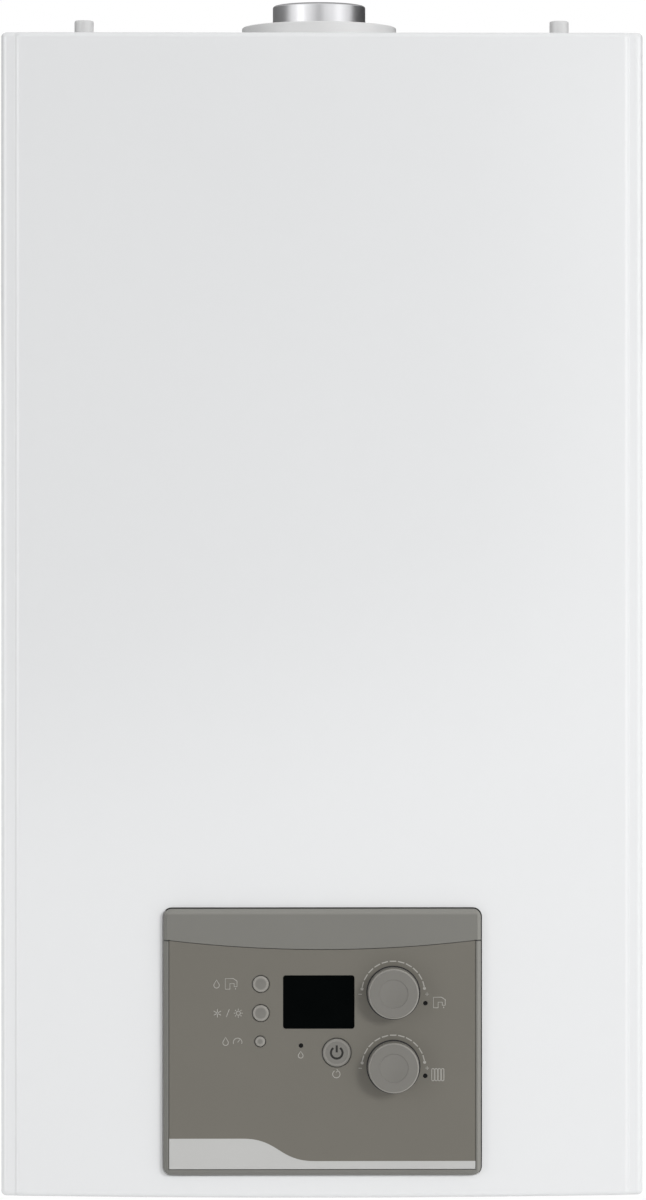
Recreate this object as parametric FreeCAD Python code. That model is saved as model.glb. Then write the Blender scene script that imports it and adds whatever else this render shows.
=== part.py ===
import FreeCAD, Part
import math
import os

V = FreeCAD.Vector
RIGHT, BACK, TOP = V(1, 0, 0), V(0, 1, 0), V(0, 0, 1)
LEFT, FORWARD, DOWN = V(-1, 0, 0), V(0, -1, 0), V(0, 0, -1)

# Wall-hung gas boiler. Millimetres, +Z up, the front faces -Y and the wall is the plane Y = 0.
# The origin is the middle of the two wall-bracket holes.

# Case
CASE_WIDTH = 400.0
CASE_HEIGHT = 726.5
CASE_DEPTH = 300.0
SHEET = 1.0
LAP_GAP = 0.5
LAP_DEPTH = 28.0
SEAM_GAP = 0.5
LIP = 12.0
BACK_STANDOFF = 12.0
RAIL_SHEET = 1.5
RAIL_FLANGE = 9.0

# Front cover: a pressed pan whose middle field stands forward between two upright joggles
COVER_RETURN = 40.0
COVER_FOLD_R = 3.0
COVER_CORNER_R = 4.0
JOGGLE_INSET = 8.5
JOGGLE_RUN = 2.0
JOGGLE_RISE = 1.5
JOGGLE_FOOT_R = 1.0
JOGGLE_CREST_R = 4.0
BOTTOM_BOW = 1.65
PIN_R = 6.0
PIN_HEIGHT = 9.3
PIN_EDGE_R = 1.2
PIN_INSET = 51.0
PIN_SETBACK = 25.0
PIN_GAP = 0.5
SCREW_R = 2.0
SCREW_HEAD_R = 4.5
SCREW_HEAD = 2.0
SCREW_GAP = 0.1
COVER_SCREW_INSET = 50.0
COVER_SCREW_SETBACK = 32.0
CASING_SCREW_INSET = 30.0

# Wall bracket
BRACKET_DROP = 60.0
BRACKET_WIDTH = 260.0
BRACKET_HEIGHT = 50.0
BRACKET_SHEET = 3.0
BRACKET_HOLE_R = 4.5
BRACKET_HOLE_SPACING = 200.0
HOOK_WIDTH = 30.0
HOOK_SPACING = 110.0
HOOK_RISE = 12.0
HOOK_GAP = 0.5

# Flue
FLUE_SETBACK = 150.0
SPIGOT_R = 30.0
SPIGOT_WALL = 1.0
SPIGOT_RISE = 31.2
NECK_GAP = 0.3
NECK_WALL = 1.5
NECK_RISE = 10.0
OUTLET_RIM = 7.0
COLLAR_R = 50.0
COLLAR_WALL = 3.0
COLLAR_RISE = 17.0
COLLAR_EDGE_R = 2.5
COLLAR_STEP = 1.5
GASKET_T = 2.0
GASKET_RIM = 4.0

# Control panel, measured from its own centre
PANEL_WIDTH = 197.5
PANEL_HEIGHT = 165.5
PANEL_CLEAR = 14.9
PANEL_CORNER_R = 5.0
PANEL_PROUD = 6.0
PANEL_REACH = 10.0
PANEL_GAP = 0.8
PANEL_WALL = 2.5
PANEL_CHAMFER = 2.2
BEZEL_SIDE = 3.1
BEZEL_BOTTOM = 3.4
HEADER_SIDE = 19.25
HEADER_MIDDLE = 24.95
FASCIA_T = 3.0
FASCIA_GAP = 0.4
LEDGE = 2.0
ACCENT_T = 0.8
ACCENT_HIGH = 22.75
ACCENT_LOW = 8.75
ACCENT_TURN_X = -49.4
ACCENT_END_X = -5.0
DISPLAY_WIDTH = 44.3
DISPLAY_HEIGHT = 33.1
DISPLAY_CORNER_R = 1.7
DISPLAY_X = -2.25
DISPLAY_Z = 24.95
DISPLAY_GAP = 0.1
MODULE_RIM = 2.5
LAMP_R = 1.4
LAMP_GAP = 0.05
LAMPS = [(-13.3, -2.1), (64.1, 24.2), (64.0, -21.0)]
KNOB_R = 16.0
KNOB_LENGTH = 13.0
KNOB_TAPER = 0.6
KNOB_EDGE_R = 2.0
KNOB_DISH_R = 8.5
KNOB_DISH = 0.8
KNOB_GAP = 0.5
KNOB_SHAFT_R = 3.0
SHAFT_HOLE_GAP = 0.5
RUNNING_GAP = 0.05
END_GAP = 0.3
KNOBS = {"dhw_knob": (44.1, 30.7), "heating_knob": (44.2, -15.3)}
ENCODER_SIZE = 12.0
ENCODER_T = 6.0
ENCODER_NECK = 4.5
ENCODER_NECK_R = 4.5
BUTTONS = {
    "eco_button": (-38.3, 36.2, 5.0),
    "season_button": (-38.3, 18.1, 5.0),
    "pressure_button": (-38.7, 0.5, 3.1),
    "power_button": (8.9, -6.5, 8.7),
}
BUTTON_RING = 0.6
BUTTON_PROUD = 1.6
BUTTON_EDGE_R = 0.9
BUTTON_FLANGE = 1.0
BUTTON_FLANGE_T = 1.2
BUTTON_REST_GAP = 0.2
BUTTON_TRAVEL = 1.2
BUTTON_STEM_R = 1.6
SWITCH_SIZE = 6.0
SWITCH_T = 4.5
BOARD_GAP = 12.0
BOARD_T = 1.6
BOARD_WIDTH = 168.0
BOARD_HEIGHT = 118.0
TRANSFORMER = (40.0, 35.0, 22.0)
TRANSFORMER_PLACE = (-59.0, 6.0)
RELAY = (17.0, 21.0, 14.0)
RELAY_PLACES = [(0.0, 12.0), (25.0, 12.0)]
PLUG_ROW = (118.0, 11.0, 11.0)
PLUG_ROW_PLACE = (-59.0, -47.0)
BOX_INSET = 1.0
BOX_DEPTH = 45.0
BOX_WALL = 2.0
BOX_POST_R = 4.0
BOX_POST_INSET = 6.0
BOX_LUG_WIDTH = 24.0
BOX_LUG_SPACING = 130.0

# Sealed chamber and what stands in it, from the floor up
CHAMBER_SIDE_CLEAR = 16.0
CHAMBER_CLEAR = 34.6
CHAMBER_TOP_CLEAR = 20.0
CHAMBER_BACK = 92.0
CHAMBER_DEPTH = 170.0
CHAMBER_LIP = 8.0
SWELL = 4.0
SWELL_INSET = 32.0
SWELL_WALL_GAIN = 0.4
SIGHT_R = 14.0
STACK_DEPTH = 120.0
BURNER_LEG = 12.0
BURNER_HEIGHT = 48.0
BURNER_RAIL = 6.0
RIBBONS = 9
RIBBON_T = 11.0
SHROUD_SHARE = 0.7
SHROUD_WALL = 3.0
EXCHANGER_HEIGHT = 60.0
FIN_PITCH = 5.0
FIN_T = 1.6
FIN_REACH = 16.0
WATER_R = 8.0
WATER_PITCH = 45.0
WATER_SIDE = 25.0
WATER_PASSES = 3
HOOD_WALL = 1.5
CHIMNEY_HALF = 45.0
CHIMNEY_DEPTH = 23.0
CHIMNEY_MARGIN = 9.0
FAN_R = 90.0
FAN_STEP = 7.0
FAN_WIDTH = 60.0
FAN_WALL = 1.5
FAN_FOOT = 6.0
FAN_THROAT_R = 35.0
FAN_OUTLET_RISE = 78.0
FAN_OUTLET_CLEAR = 38.5
IMPELLER_R = 54.0
IMPELLER_EYE_R = 40.0
IMPELLER_CLEAR = 6.0
IMPELLER_DISC = 2.0
IMPELLER_HUB_R = 9.0
IMPELLER_HUB = 14.0
BLADES = 20
BLADE_T = 1.5
BLADE_LEAN = 30.0
FAN_SHAFT_R = 4.0
MOTOR_R = 32.0
MOTOR_LENGTH = 42.0
MOTOR_CAP_R = 22.0
MOTOR_CAP = 8.0
SHAFT_DEPTH = 25.0
MANIFOLD_SIZE = 14.0
MANIFOLD_EDGE_R = 2.3
MANIFOLD_GAP = 10.0
NOZZLE_R = 3.0
ELECTRODE_R = 4.0
ELECTRODE_LENGTH = 26.0
ELECTRODE_TIP_R = 1.0
ELECTRODE_TIP = 18.0
ELECTRODE_RISE = 16.0
ELECTRODE_X = [-52.0, -26.0, 52.0]
CAPSULE_R = 30.0
CAPSULE_T = 20.0
NIPPLE_R = 3.0
NIPPLE_LENGTH = 39.0
NIPPLE_SPACING = 20.0

# Gas and water
BLOCK_INSET = 70.0
PIPE_SETBACK = 185.0
PIPE_DROP = 15.0
PIPE_GAP = 0.5
LARGE_R = 13.22
SMALL_R = 10.48
LARGE_BORE_R = 9.5
SMALL_BORE_R = 7.5
NUT_RIM = 5.0
NUT_T = 5.0
BRACKET_PLATE = 2.0
BRACKET_PLATE_H = 12.0
BRACKET_PLATE_DEPTH = 45.0
BLOCK_FOOT = 45.0
BLOCK_HEIGHT = 75.0
BLOCK_R = 17.0
HEAD_R = 21.0
HEAD_LENGTH = 55.0
HEAD_EDGE_R = 4.0
HEAD_NECK_R = 12.6
HEAD_NECK = 18.0
PUMP_R = 36.0
PUMP_DEPTH = 40.0
PUMP_CAN_R = 44.0
PUMP_CAN_WAIST_R = 39.6
PUMP_CAN_TIP_R = 31.7
PUMP_CAN_RIM = 10.0
PUMP_CAN_SLOPE = 5.5
PUMP_CAN = 62.0
PLATES_RIM = 30.0
PLATES_DEPTH = 40.0
PLATES_FOOT = 50.0
PLATES_HEIGHT = 72.0
PLATES_CORNER_R = 18.0
PLATES_STANDOFF = 27.0
PLATES = 10
PORT_R = 9.0
PORT_LENGTH = 12.0
PORT_LOW = 72.0
PORT_HIGH = 102.0
TAP_R = 6.0
TAP_BODY_R = 9.0
TAP_HEIGHT = 31.0
HANDLE_R = 12.0
HANDLE_LENGTH = 14.0
HANDLE_EDGE_R = 1.5
HANDLE_SHAFT_R = 3.0
FLUTES = 8
FLUTE_R = 1.7
VALVE_HALF = 30.0
VALVE_DEPTH = 52.0
VALVE_FOOT = 62.0
VALVE_HEIGHT = 88.0
VALVE_EDGE_R = 5.0
VALVE_SETBACK = 125.0
COIL_R = 12.0
COIL_LENGTH = 30.0
COIL_SPACING = 35.0
COIL_X = -10.0
REGULATOR_R = 7.5
REGULATOR_LENGTH = 15.0
REGULATOR_X = 18.0
GAS_R = 7.0
GAS_BEND = 14.0
WATER_BEND = 16.0
VESSEL_SIDE_CLEAR = 32.0
VESSEL_DEPTH = 70.0
VESSEL_DROP = 256.5
VESSEL_EDGE_R = 24.0
VESSEL_SEAM = 3.0
VESSEL_BOSS_R = 9.0
VESSEL_BOSS = 16.0
VESSEL_PIPE_R = 5.0
VESSEL_PIPE_H = 142.0

# Places that follow from the sizes above
Z_TOP = BRACKET_DROP
Z_BOTTOM = Z_TOP - CASE_HEIGHT
FRONT = -CASE_DEPTH
HALF = CASE_WIDTH / 2
STRIP = FRONT + JOGGLE_RISE
COVER_BACK = FRONT + COVER_RETURN
SIDE_FRONT = COVER_BACK + SEAM_GAP
LAP_FRONT = COVER_BACK - LAP_DEPTH
LAP = SHEET + LAP_GAP
BACK_PLATE = -BACK_STANDOFF - SHEET
FLUE_Y = FRONT + FLUE_SETBACK
PANEL_FRONT = FRONT - PANEL_PROUD
PANEL_BACK = FRONT + PANEL_REACH
FASCIA_BACK = PANEL_FRONT + FASCIA_T
BOARD_FRONT = FASCIA_BACK + BOARD_GAP
BOARD_BACK = BOARD_FRONT + BOARD_T
BOX_BACK = PANEL_BACK + BOX_DEPTH
CHAMBER_HALF = HALF - CHAMBER_SIDE_CLEAR
CHAMBER_FLOOR = PANEL_CLEAR + PANEL_HEIGHT + CHAMBER_CLEAR
CHAMBER_TOP = CASE_HEIGHT - CHAMBER_TOP_CLEAR
CHAMBER_REAR = -CHAMBER_BACK
CHAMBER_FRONT = CHAMBER_REAR - CHAMBER_DEPTH
BLOCK_X = HALF - BLOCK_INSET
PIPE_PITCH = BLOCK_X / 2
PIPE_Y = FRONT + PIPE_SETBACK
STACK_HALF = BLOCK_X - WATER_SIDE
STACK_Y = PIPE_Y - WATER_PITCH * (WATER_PASSES - 1) / 2
STACK_FRONT = STACK_Y - STACK_DEPTH / 2
STACK_BACK = STACK_Y + STACK_DEPTH / 2
PLATES_HALF = PIPE_PITCH + PLATES_RIM
VESSEL_R = HALF - VESSEL_SIDE_CLEAR - VESSEL_SEAM
VESSEL_Z = Z_TOP - VESSEL_DROP
FAN_TALL = FAN_FOOT + FAN_R + FAN_OUTLET_RISE + FAN_OUTLET_CLEAR
STACK_FIXED = SHEET + BURNER_LEG + BURNER_HEIGHT + EXCHANGER_HEIGHT + FAN_TALL
STACK_SPARE = CHAMBER_TOP - CHAMBER_FLOOR - STACK_FIXED
SHROUD_HEIGHT = SHROUD_SHARE * STACK_SPARE
HOOD_HEIGHT = STACK_SPARE - SHROUD_HEIGHT


def up(height):
    """Z of a height above the bottom of the case."""
    return Z_BOTTOM + height


PANEL_Z = up(PANEL_CLEAR + PANEL_HEIGHT / 2)
RAIL_Z = Z_BOTTOM + BOTTOM_BOW + LAP
BURNER_Z = up(CHAMBER_FLOOR) + SHEET + BURNER_LEG
SHROUD_Z = BURNER_Z + BURNER_HEIGHT
EXCHANGER_Z = SHROUD_Z + SHROUD_HEIGHT
WATER_Z = EXCHANGER_Z + EXCHANGER_HEIGHT / 2
HOOD_Z = EXCHANGER_Z + EXCHANGER_HEIGHT
HOOD_TOP = HOOD_Z + HOOD_HEIGHT
FAN_X = SPIGOT_R - FAN_R
FAN_Y = FLUE_Y
FAN_FRONT = FAN_Y - FAN_WIDTH / 2
FAN_REAR = FAN_Y + FAN_WIDTH / 2
FAN_Z = HOOD_TOP + FAN_FOOT + FAN_R
FAN_OUTLET_Z = FAN_Z + FAN_OUTLET_RISE
MANIFOLD_Y = STACK_FRONT - MANIFOLD_GAP - MANIFOLD_SIZE / 2
MANIFOLD_Z = BURNER_Z + MANIFOLD_SIZE
VALVE_Y = FRONT + VALVE_SETBACK
PLATES_FRONT = BACK_PLATE - PLATES_STANDOFF - PLATES_DEPTH
NUT_Z = up(BRACKET_PLATE_H + BRACKET_PLATE)


def block(x0, x1, y0, y1, z0, z1):
    """Box between two corners."""
    return Part.makeBox(x1 - x0, y1 - y0, z1 - z0, V(x0, y0, z0))


def rod(base, axis, length, radius):
    """Round bar that starts at base and runs along axis."""
    return Part.makeCylinder(radius, length, base, axis)


def sleeve(base, axis, length, outer, inner):
    """Round bar with a bore right through."""
    return rod(base, axis, length, outer).cut(rod(base, axis, length, inner))


def fused(shapes):
    """One solid from pieces that overlap or share faces."""
    return shapes[0].multiFuse(shapes[1:]).removeSplitter()


def group(shapes):
    """Separate solids kept in one node."""
    return Part.makeCompound(shapes)


def mirrored(shape):
    """The same piece on the other side of the middle plane."""
    return shape.mirror(V(0, 0, 0), RIGHT)


def edges_along(shape, axis):
    """Straight edges of a shape that run along an axis."""
    straight = [e for e in shape.Edges if isinstance(e.Curve, Part.Line)]
    return [e for e in straight if abs(abs(e.Curve.Direction * axis) - 1) < 1e-6]


def edges_at(shape, axis, level):
    """Edges that lie wholly in the plane at that level along an axis."""
    return [e for e in shape.Edges if all(abs(v.Point * axis - level) < 1e-4 for v in e.Vertexes)]


def strip_outline(points, thickness):
    """Closed outline of a bent sheet: one face follows the points and the sheet lies to their left."""
    far_side = []
    for i, point in enumerate(points):
        runs = [(points[k], points[k + 1]) for k in (i - 1, i) if 0 <= k < len(points) - 1]
        normals = []
        for start, end in runs:
            length = math.hypot(end[0] - start[0], end[1] - start[1])
            normals.append(((start[1] - end[1]) / length, (end[0] - start[0]) / length))
        first, last = normals[0], normals[-1]
        reach = thickness / (1 + first[0] * last[0] + first[1] * last[1])
        far_side.append((point[0] + reach * (first[0] + last[0]), point[1] + reach * (first[1] + last[1])))
    return points + far_side[::-1] + points[:1]


def sheet_along_z(points, thickness, z0, z1):
    """Bent sheet with an XY outline, drawn from z0 to z1."""
    wire = Part.makePolygon([V(x, y, z0) for x, y in strip_outline(points, thickness)])
    return Part.Face(wire).extrude(V(0, 0, z1 - z0))


def sheet_along_x(points, thickness, x0, x1):
    """Bent sheet with a YZ outline, drawn from x0 to x1."""
    wire = Part.makePolygon([V(x0, y, z) for y, z in strip_outline(points, thickness)])
    return Part.Face(wire).extrude(V(x1 - x0, 0, 0))


def turned(profile, base, axis):
    """Turned piece: (radius, distance) points revolved about an axis that starts at base."""
    wire = Part.makePolygon([V(r, 0, t) for r, t in profile + profile[:1]])
    shape = Part.Face(wire).revolve(V(0, 0, 0), TOP, 360)
    shape.Placement = FreeCAD.Placement(base, FreeCAD.Rotation(TOP, axis))
    return shape


def plate(x, z, width, height, corner, y0, y1):
    """Upright plate with rounded corners, from y0 to y1."""
    shape = block(x - width / 2, x + width / 2, y0, y1, z - height / 2, z + height / 2)
    return shape.makeFillet(corner, edges_along(shape, BACK))


def bent_path(points, bends):
    """Straight runs joined by tangent arcs, one radius for each corner."""
    edges = []
    start = points[0]
    for before, corner, after, bend in zip(points, points[1:], points[2:], bends):
        arrive = (corner - before).normalize()
        leave = (after - corner).normalize()
        half_turn = arrive.getAngle(leave) / 2
        setback = bend * math.tan(half_turn)
        first = corner - arrive * setback
        last = corner + leave * setback
        inward = (leave - arrive).normalize()
        middle = corner + inward * (bend / math.cos(half_turn) - bend)
        edges.append(Part.LineSegment(start, first).toShape())
        edges.append(Part.Arc(first, middle, last).toShape())
        start = last
    edges.append(Part.LineSegment(start, points[-1]).toShape())
    return edges


def bent_rod(points, radius, bend):
    """Round rod or pipe along straight runs and bends."""
    heading = points[1] - points[0]
    section = Part.Wire(Part.Circle(points[0], heading, radius).toShape())
    path = Part.Wire(bent_path(points, [bend] * len(points)))
    return path.makePipeShell([section], True, False)


def save(name, shape):
    """Write one node."""
    shape.exportStep("parts/" + name + ".step")


def mirrored_pair(spacing):
    """X of two places that lie evenly about the middle."""
    return [-spacing / 2, spacing / 2]


def from_sides(inset):
    """X of two places that lie the same way in from the case's sides."""
    return [inset - HALF, HALF - inset]


def bottom_edge(x):
    """Z of the cover's bowed bottom edge."""
    return Z_BOTTOM + BOTTOM_BOW * (x / HALF) ** 2


# Casing


def cover_section(inset, rear, z):
    """Level section of the cover at one sheet face: sides, edge strips, joggles and the forward field."""
    slope = math.atan2(JOGGLE_RISE, JOGGLE_RUN)
    shift = inset * math.tan(slope / 2)
    foot = HALF - JOGGLE_INSET - shift
    crest = foot - JOGGLE_RUN
    side, strip = HALF - inset, STRIP + inset
    half = [(side, rear), (side, strip), (foot, strip), (crest, FRONT + inset)]
    bends = [COVER_CORNER_R - inset, JOGGLE_FOOT_R + inset, JOGGLE_CREST_R - inset]
    outline = [V(x, y, z) for x, y in half] + [V(-x, y, z) for x, y in reversed(half)]
    edges = bent_path(outline, bends + bends[::-1])
    return edges + [Part.LineSegment(outline[-1], outline[0]).toShape()]


def cover_slab(inset, rear):
    """The cover as a full block: its section drawn up, its bottom bowed and its folds rounded."""
    low = Z_BOTTOM - BOTTOM_BOW
    section = Part.Face(Part.Wire(cover_section(inset, rear, low)))
    bow_r = (HALF ** 2 + BOTTOM_BOW ** 2) / (2 * BOTTOM_BOW)
    bow = rod(V(0, FRONT - SHEET, Z_BOTTOM + inset + bow_r), BACK, CASE_DEPTH, bow_r)
    slab = section.extrude(V(0, 0, Z_TOP - inset - low)).common(bow)
    kept = edges_along(slab, TOP) + edges_at(slab, BACK, rear)
    folds = [e for e in slab.Edges if not any(e.isSame(k) for k in kept)]
    return slab.makeFillet(COVER_FOLD_R - inset, folds)


def rear_slot(x, y, radius, z0, z1):
    """Slot with a round front end, open towards the wall."""
    cut = block(x - radius, x + radius, y, COVER_BACK + SHEET, z0, z1)
    return cut.fuse(rod(V(x, y, z0), TOP, z1 - z0, radius))


def front_cover():
    shell = cover_slab(0, COVER_BACK).cut(cover_slab(SHEET, COVER_BACK + SHEET))
    opening = plate(
        0, PANEL_Z, PANEL_WIDTH + 2 * PANEL_GAP, PANEL_HEIGHT + 2 * PANEL_GAP,
        PANEL_CORNER_R + PANEL_GAP, FRONT - SHEET, STRIP + 2 * SHEET,
    )
    cuts = [opening]
    for x in from_sides(PIN_INSET):
        cuts.append(rear_slot(x, FRONT + PIN_SETBACK, PIN_R + PIN_GAP, Z_TOP - 2 * SHEET, Z_TOP + SHEET))
    for x in from_sides(COVER_SCREW_INSET):
        cuts.append(rear_slot(x, FRONT + COVER_SCREW_SETBACK, SCREW_R + PIN_GAP, Z_BOTTOM - SHEET, RAIL_Z))
    return shell.cut(cuts)


def right_side_panel():
    """Side sheet that steps in to pass under the cover's return."""
    lap_x = HALF - LAP
    points = [(lap_x - LIP, LAP_FRONT), (lap_x, LAP_FRONT), (lap_x, SIDE_FRONT)]
    points += [(HALF, SIDE_FRONT), (HALF, 0)]
    z0 = Z_BOTTOM + BOTTOM_BOW
    sheet = sheet_along_z(points, SHEET, z0, Z_TOP - SHEET)
    over = block(0, HALF, LAP_FRONT, SIDE_FRONT + SHEET, Z_TOP - LAP - SHEET, Z_TOP)
    under = block(0, HALF, LAP_FRONT, SIDE_FRONT, z0, RAIL_Z + COVER_FOLD_R)
    return sheet.cut(over).cut(under)


def top_panel():
    lap_x = HALF - LAP - COVER_FOLD_R
    lap_z = Z_TOP - LAP
    rear = block(-HALF, HALF, SIDE_FRONT, 0, Z_TOP - SHEET, Z_TOP)
    points = [(SIDE_FRONT + LIP, Z_TOP), (SIDE_FRONT, Z_TOP), (SIDE_FRONT, lap_z), (LAP_FRONT, lap_z)]
    points.append((LAP_FRONT, lap_z - LIP))
    lap = sheet_along_x(points, SHEET, -lap_x, lap_x)
    lip_room = LAP + SHEET + LIP
    for side in (-1, 1):
        x0, x1 = sorted((side * (HALF - lip_room), side * HALF))
        lap = lap.cut(block(x0, x1, LAP_FRONT, LAP_FRONT + SHEET, lap_z - LIP, lap_z - SHEET))
    panel = fused([rear, lap])
    cuts = [rod(V(0, FLUE_Y, Z_TOP - SHEET), TOP, SHEET, throat_r() + SEAM_GAP)]
    for x in from_sides(CASING_SCREW_INSET):
        cuts.append(rod(V(x, -BACK_STANDOFF / 2, Z_TOP - SHEET), TOP, SHEET, SCREW_R + SCREW_GAP))
    return panel.cut(cuts)


def hook_z():
    """Height of the wall bracket's hooks, on which the back panel hangs."""
    return BRACKET_HEIGHT / 2


def back_panel():
    """Tray with its rim against the wall and two slots for the bracket's hooks."""
    x, z0, z1 = HALF - SHEET, Z_BOTTOM + BOTTOM_BOW, Z_TOP - SHEET
    tray = block(-x, x, BACK_PLATE, 0, z0, z1)
    tray = tray.cut(block(-x + SHEET, x - SHEET, -BACK_STANDOFF, 0, z0 + SHEET, z1 - SHEET))
    slot = HOOK_WIDTH / 2 + HOOK_GAP
    for middle in mirrored_pair(HOOK_SPACING):
        low = hook_z() - BRACKET_SHEET - HOOK_RISE
        tray = tray.cut(block(middle - slot, middle + slot, BACK_PLATE, -BACK_STANDOFF, low, hook_z()))
    for middle in from_sides(CASING_SCREW_INSET):
        tray = tray.cut(rod(V(middle, -BACK_STANDOFF / 2, z1 - SHEET), TOP, SHEET, SCREW_R + SCREW_GAP))
    return tray


def wall_bracket():
    """Wall strip with two screw holes and two folded hooks."""
    strip = plate(0, 0, BRACKET_WIDTH, BRACKET_HEIGHT, BRACKET_SHEET, -BRACKET_SHEET, 0)
    pieces = [strip]
    tip = BACK_PLATE - HOOK_GAP
    for middle in mirrored_pair(HOOK_SPACING):
        x0, x1 = middle - HOOK_WIDTH / 2, middle + HOOK_WIDTH / 2
        top = hook_z()
        points = [(-BRACKET_SHEET, top - BRACKET_SHEET), (tip - BRACKET_SHEET, top - BRACKET_SHEET)]
        points.append((tip - BRACKET_SHEET, top + HOOK_RISE))
        pieces.append(sheet_along_x(points[::-1], BRACKET_SHEET, x0, x1))
    bracket = fused(pieces)
    for x in mirrored_pair(BRACKET_HOLE_SPACING):
        bracket = bracket.cut(rod(V(x, 0, 0), FORWARD, BRACKET_SHEET, BRACKET_HOLE_R))
    return bracket


def bottom_rail():
    """Folded cross-member between the side panels, which takes the cover's screws."""
    x = HALF - LAP - SHEET
    points = [(COVER_BACK, RAIL_Z + RAIL_FLANGE), (COVER_BACK, RAIL_Z), (LAP_FRONT + 2 * SHEET, RAIL_Z)]
    rail = sheet_along_x(points[::-1], RAIL_SHEET, -x, x)
    for middle in from_sides(COVER_SCREW_INSET):
        hole = V(middle, FRONT + COVER_SCREW_SETBACK, RAIL_Z)
        rail = rail.cut(rod(hole, TOP, RAIL_SHEET, SCREW_R + SCREW_GAP))
    return rail


def connection_bracket():
    """Shelf on the back panel that carries the five pipe connections."""
    x = BLOCK_X + BRACKET_PLATE_DEPTH
    z = up(BRACKET_PLATE_H)
    points = [(BACK_PLATE, z + BRACKET_PLATE_DEPTH), (BACK_PLATE, z), (PIPE_Y - BRACKET_PLATE_DEPTH, z)]
    shelf = sheet_along_x(points[::-1], BRACKET_PLATE, -x, x)
    for pipe_x, bore in pipe_places():
        shelf = shelf.cut(rod(V(pipe_x, PIPE_Y, z), TOP, BRACKET_PLATE, bore + PIPE_GAP))
    return shelf


def locating_pins():
    """Pins on the top panel's lap, which the cover's slotted top edge drops over."""
    pins = []
    for x in from_sides(PIN_INSET):
        foot = V(x, FRONT + PIN_SETBACK, Z_TOP - LAP)
        pin = rod(foot, TOP, LAP + PIN_HEIGHT, PIN_R)
        pins.append(pin.makeFillet(PIN_EDGE_R, edges_at(pin, TOP, Z_TOP + PIN_HEIGHT)))
    return group(pins)


def screw(seat, axis, shank):
    """Pan-head screw: the head stands on the seat and the shank runs the other way."""
    head = rod(seat, axis, SCREW_HEAD, SCREW_HEAD_R)
    head = head.makeChamfer(SCREW_HEAD / 2, edges_at(head, axis, seat * axis + SCREW_HEAD))
    return fused([head, rod(seat, axis * -1, shank, SCREW_R)])


def casing_screws():
    """Screws under the cover's bottom edge, at the back of the top panel and round the chamber cover."""
    screws = []
    for x in from_sides(COVER_SCREW_INSET):
        seat = bottom_edge(x) - PIN_GAP / 2
        shank = RAIL_Z + RAIL_SHEET + SCREW_HEAD - seat
        screws.append(screw(V(x, FRONT + COVER_SCREW_SETBACK, seat), DOWN, shank))
    for x in from_sides(CASING_SCREW_INSET):
        screws.append(screw(V(x, -BACK_STANDOFF / 2, Z_TOP), TOP, BACK_STANDOFF / 2))
    for place in chamber_screw_places():
        screws.append(screw(place, FORWARD, SHEET))
    return group(screws)


def pipe_places():
    """X and neck radius of the five connections, left to right."""
    radii = [LARGE_BORE_R, SMALL_BORE_R, LARGE_BORE_R, SMALL_BORE_R, LARGE_BORE_R]
    return [((i - 2) * PIPE_PITCH, radius) for i, radius in enumerate(radii)]


# Control panel


def panel_point(x, y, z):
    """Place on the panel, measured from its centre."""
    return V(x, y, PANEL_Z + z)


def fascia_outline(inset, y0, y1):
    """Panel area under the arched seam, drawn from y0 to y1."""
    x = PANEL_WIDTH / 2 - BEZEL_SIDE - inset
    low = BEZEL_BOTTOM - PANEL_HEIGHT / 2 + inset
    seam_side, seam_middle = PANEL_HEIGHT / 2 - HEADER_SIDE, PANEL_HEIGHT / 2 - HEADER_MIDDLE
    left_low, right_low = panel_point(-x, y0, low), panel_point(x, y0, low)
    left_high, right_high = panel_point(-x, y0, seam_side - inset), panel_point(x, y0, seam_side - inset)
    arch = Part.Arc(right_high, panel_point(0, y0, seam_middle - inset), left_high)
    edges = [Part.LineSegment(left_low, right_low), Part.LineSegment(right_low, right_high), arch]
    edges.append(Part.LineSegment(left_high, left_low))
    return Part.Face(Part.Wire([e.toShape() for e in edges])).extrude(V(0, y1 - y0, 0))


def control_bezel():
    """Moulded frame: chamfered rim, header band over the seam, ledge for the fascia, hollow behind."""
    body = plate(0, PANEL_Z, PANEL_WIDTH, PANEL_HEIGHT, PANEL_CORNER_R, PANEL_FRONT, PANEL_BACK)
    body = body.makeChamfer(PANEL_CHAMFER, edges_at(body, BACK, PANEL_FRONT))
    ledge_back = FASCIA_BACK + LEDGE
    hollow = plate(
        0, PANEL_Z, PANEL_WIDTH - 2 * PANEL_WALL, PANEL_HEIGHT - 2 * PANEL_WALL,
        PANEL_CORNER_R - PANEL_WALL, ledge_back, PANEL_BACK,
    )
    pocket = fascia_outline(0, PANEL_FRONT, FASCIA_BACK)
    window = fascia_outline(LEDGE, FASCIA_BACK, ledge_back)
    return body.cut(hollow).cut(pocket).cut(window)


def accent_area():
    """Low strip of the fascia's face: its upper edge runs level, dips in an S and runs level again."""
    y = PANEL_FRONT
    left, right, low = -PANEL_WIDTH / 2, PANEL_WIDTH / 2, -PANEL_HEIGHT / 2
    upper, lower = low + ACCENT_HIGH, low + ACCENT_LOW
    reach = (ACCENT_END_X - ACCENT_TURN_X) / 2
    poles = [(ACCENT_TURN_X, upper), (ACCENT_TURN_X + reach, upper)]
    poles += [(ACCENT_END_X - reach, lower), (ACCENT_END_X, lower)]
    dip = Part.BezierCurve()
    dip.setPoles([panel_point(x, y, z) for x, z in poles])
    run = [(ACCENT_END_X, lower), (right, lower), (right, low), (left, low), (left, upper)]
    run.append((ACCENT_TURN_X, upper))
    places = [panel_point(x, y, z) for x, z in run]
    edges = [dip.toShape()] + [Part.LineSegment(a, b).toShape() for a, b in zip(places, places[1:])]
    return Part.Face(Part.Wire(edges)).extrude(V(0, ACCENT_T, 0))


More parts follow.
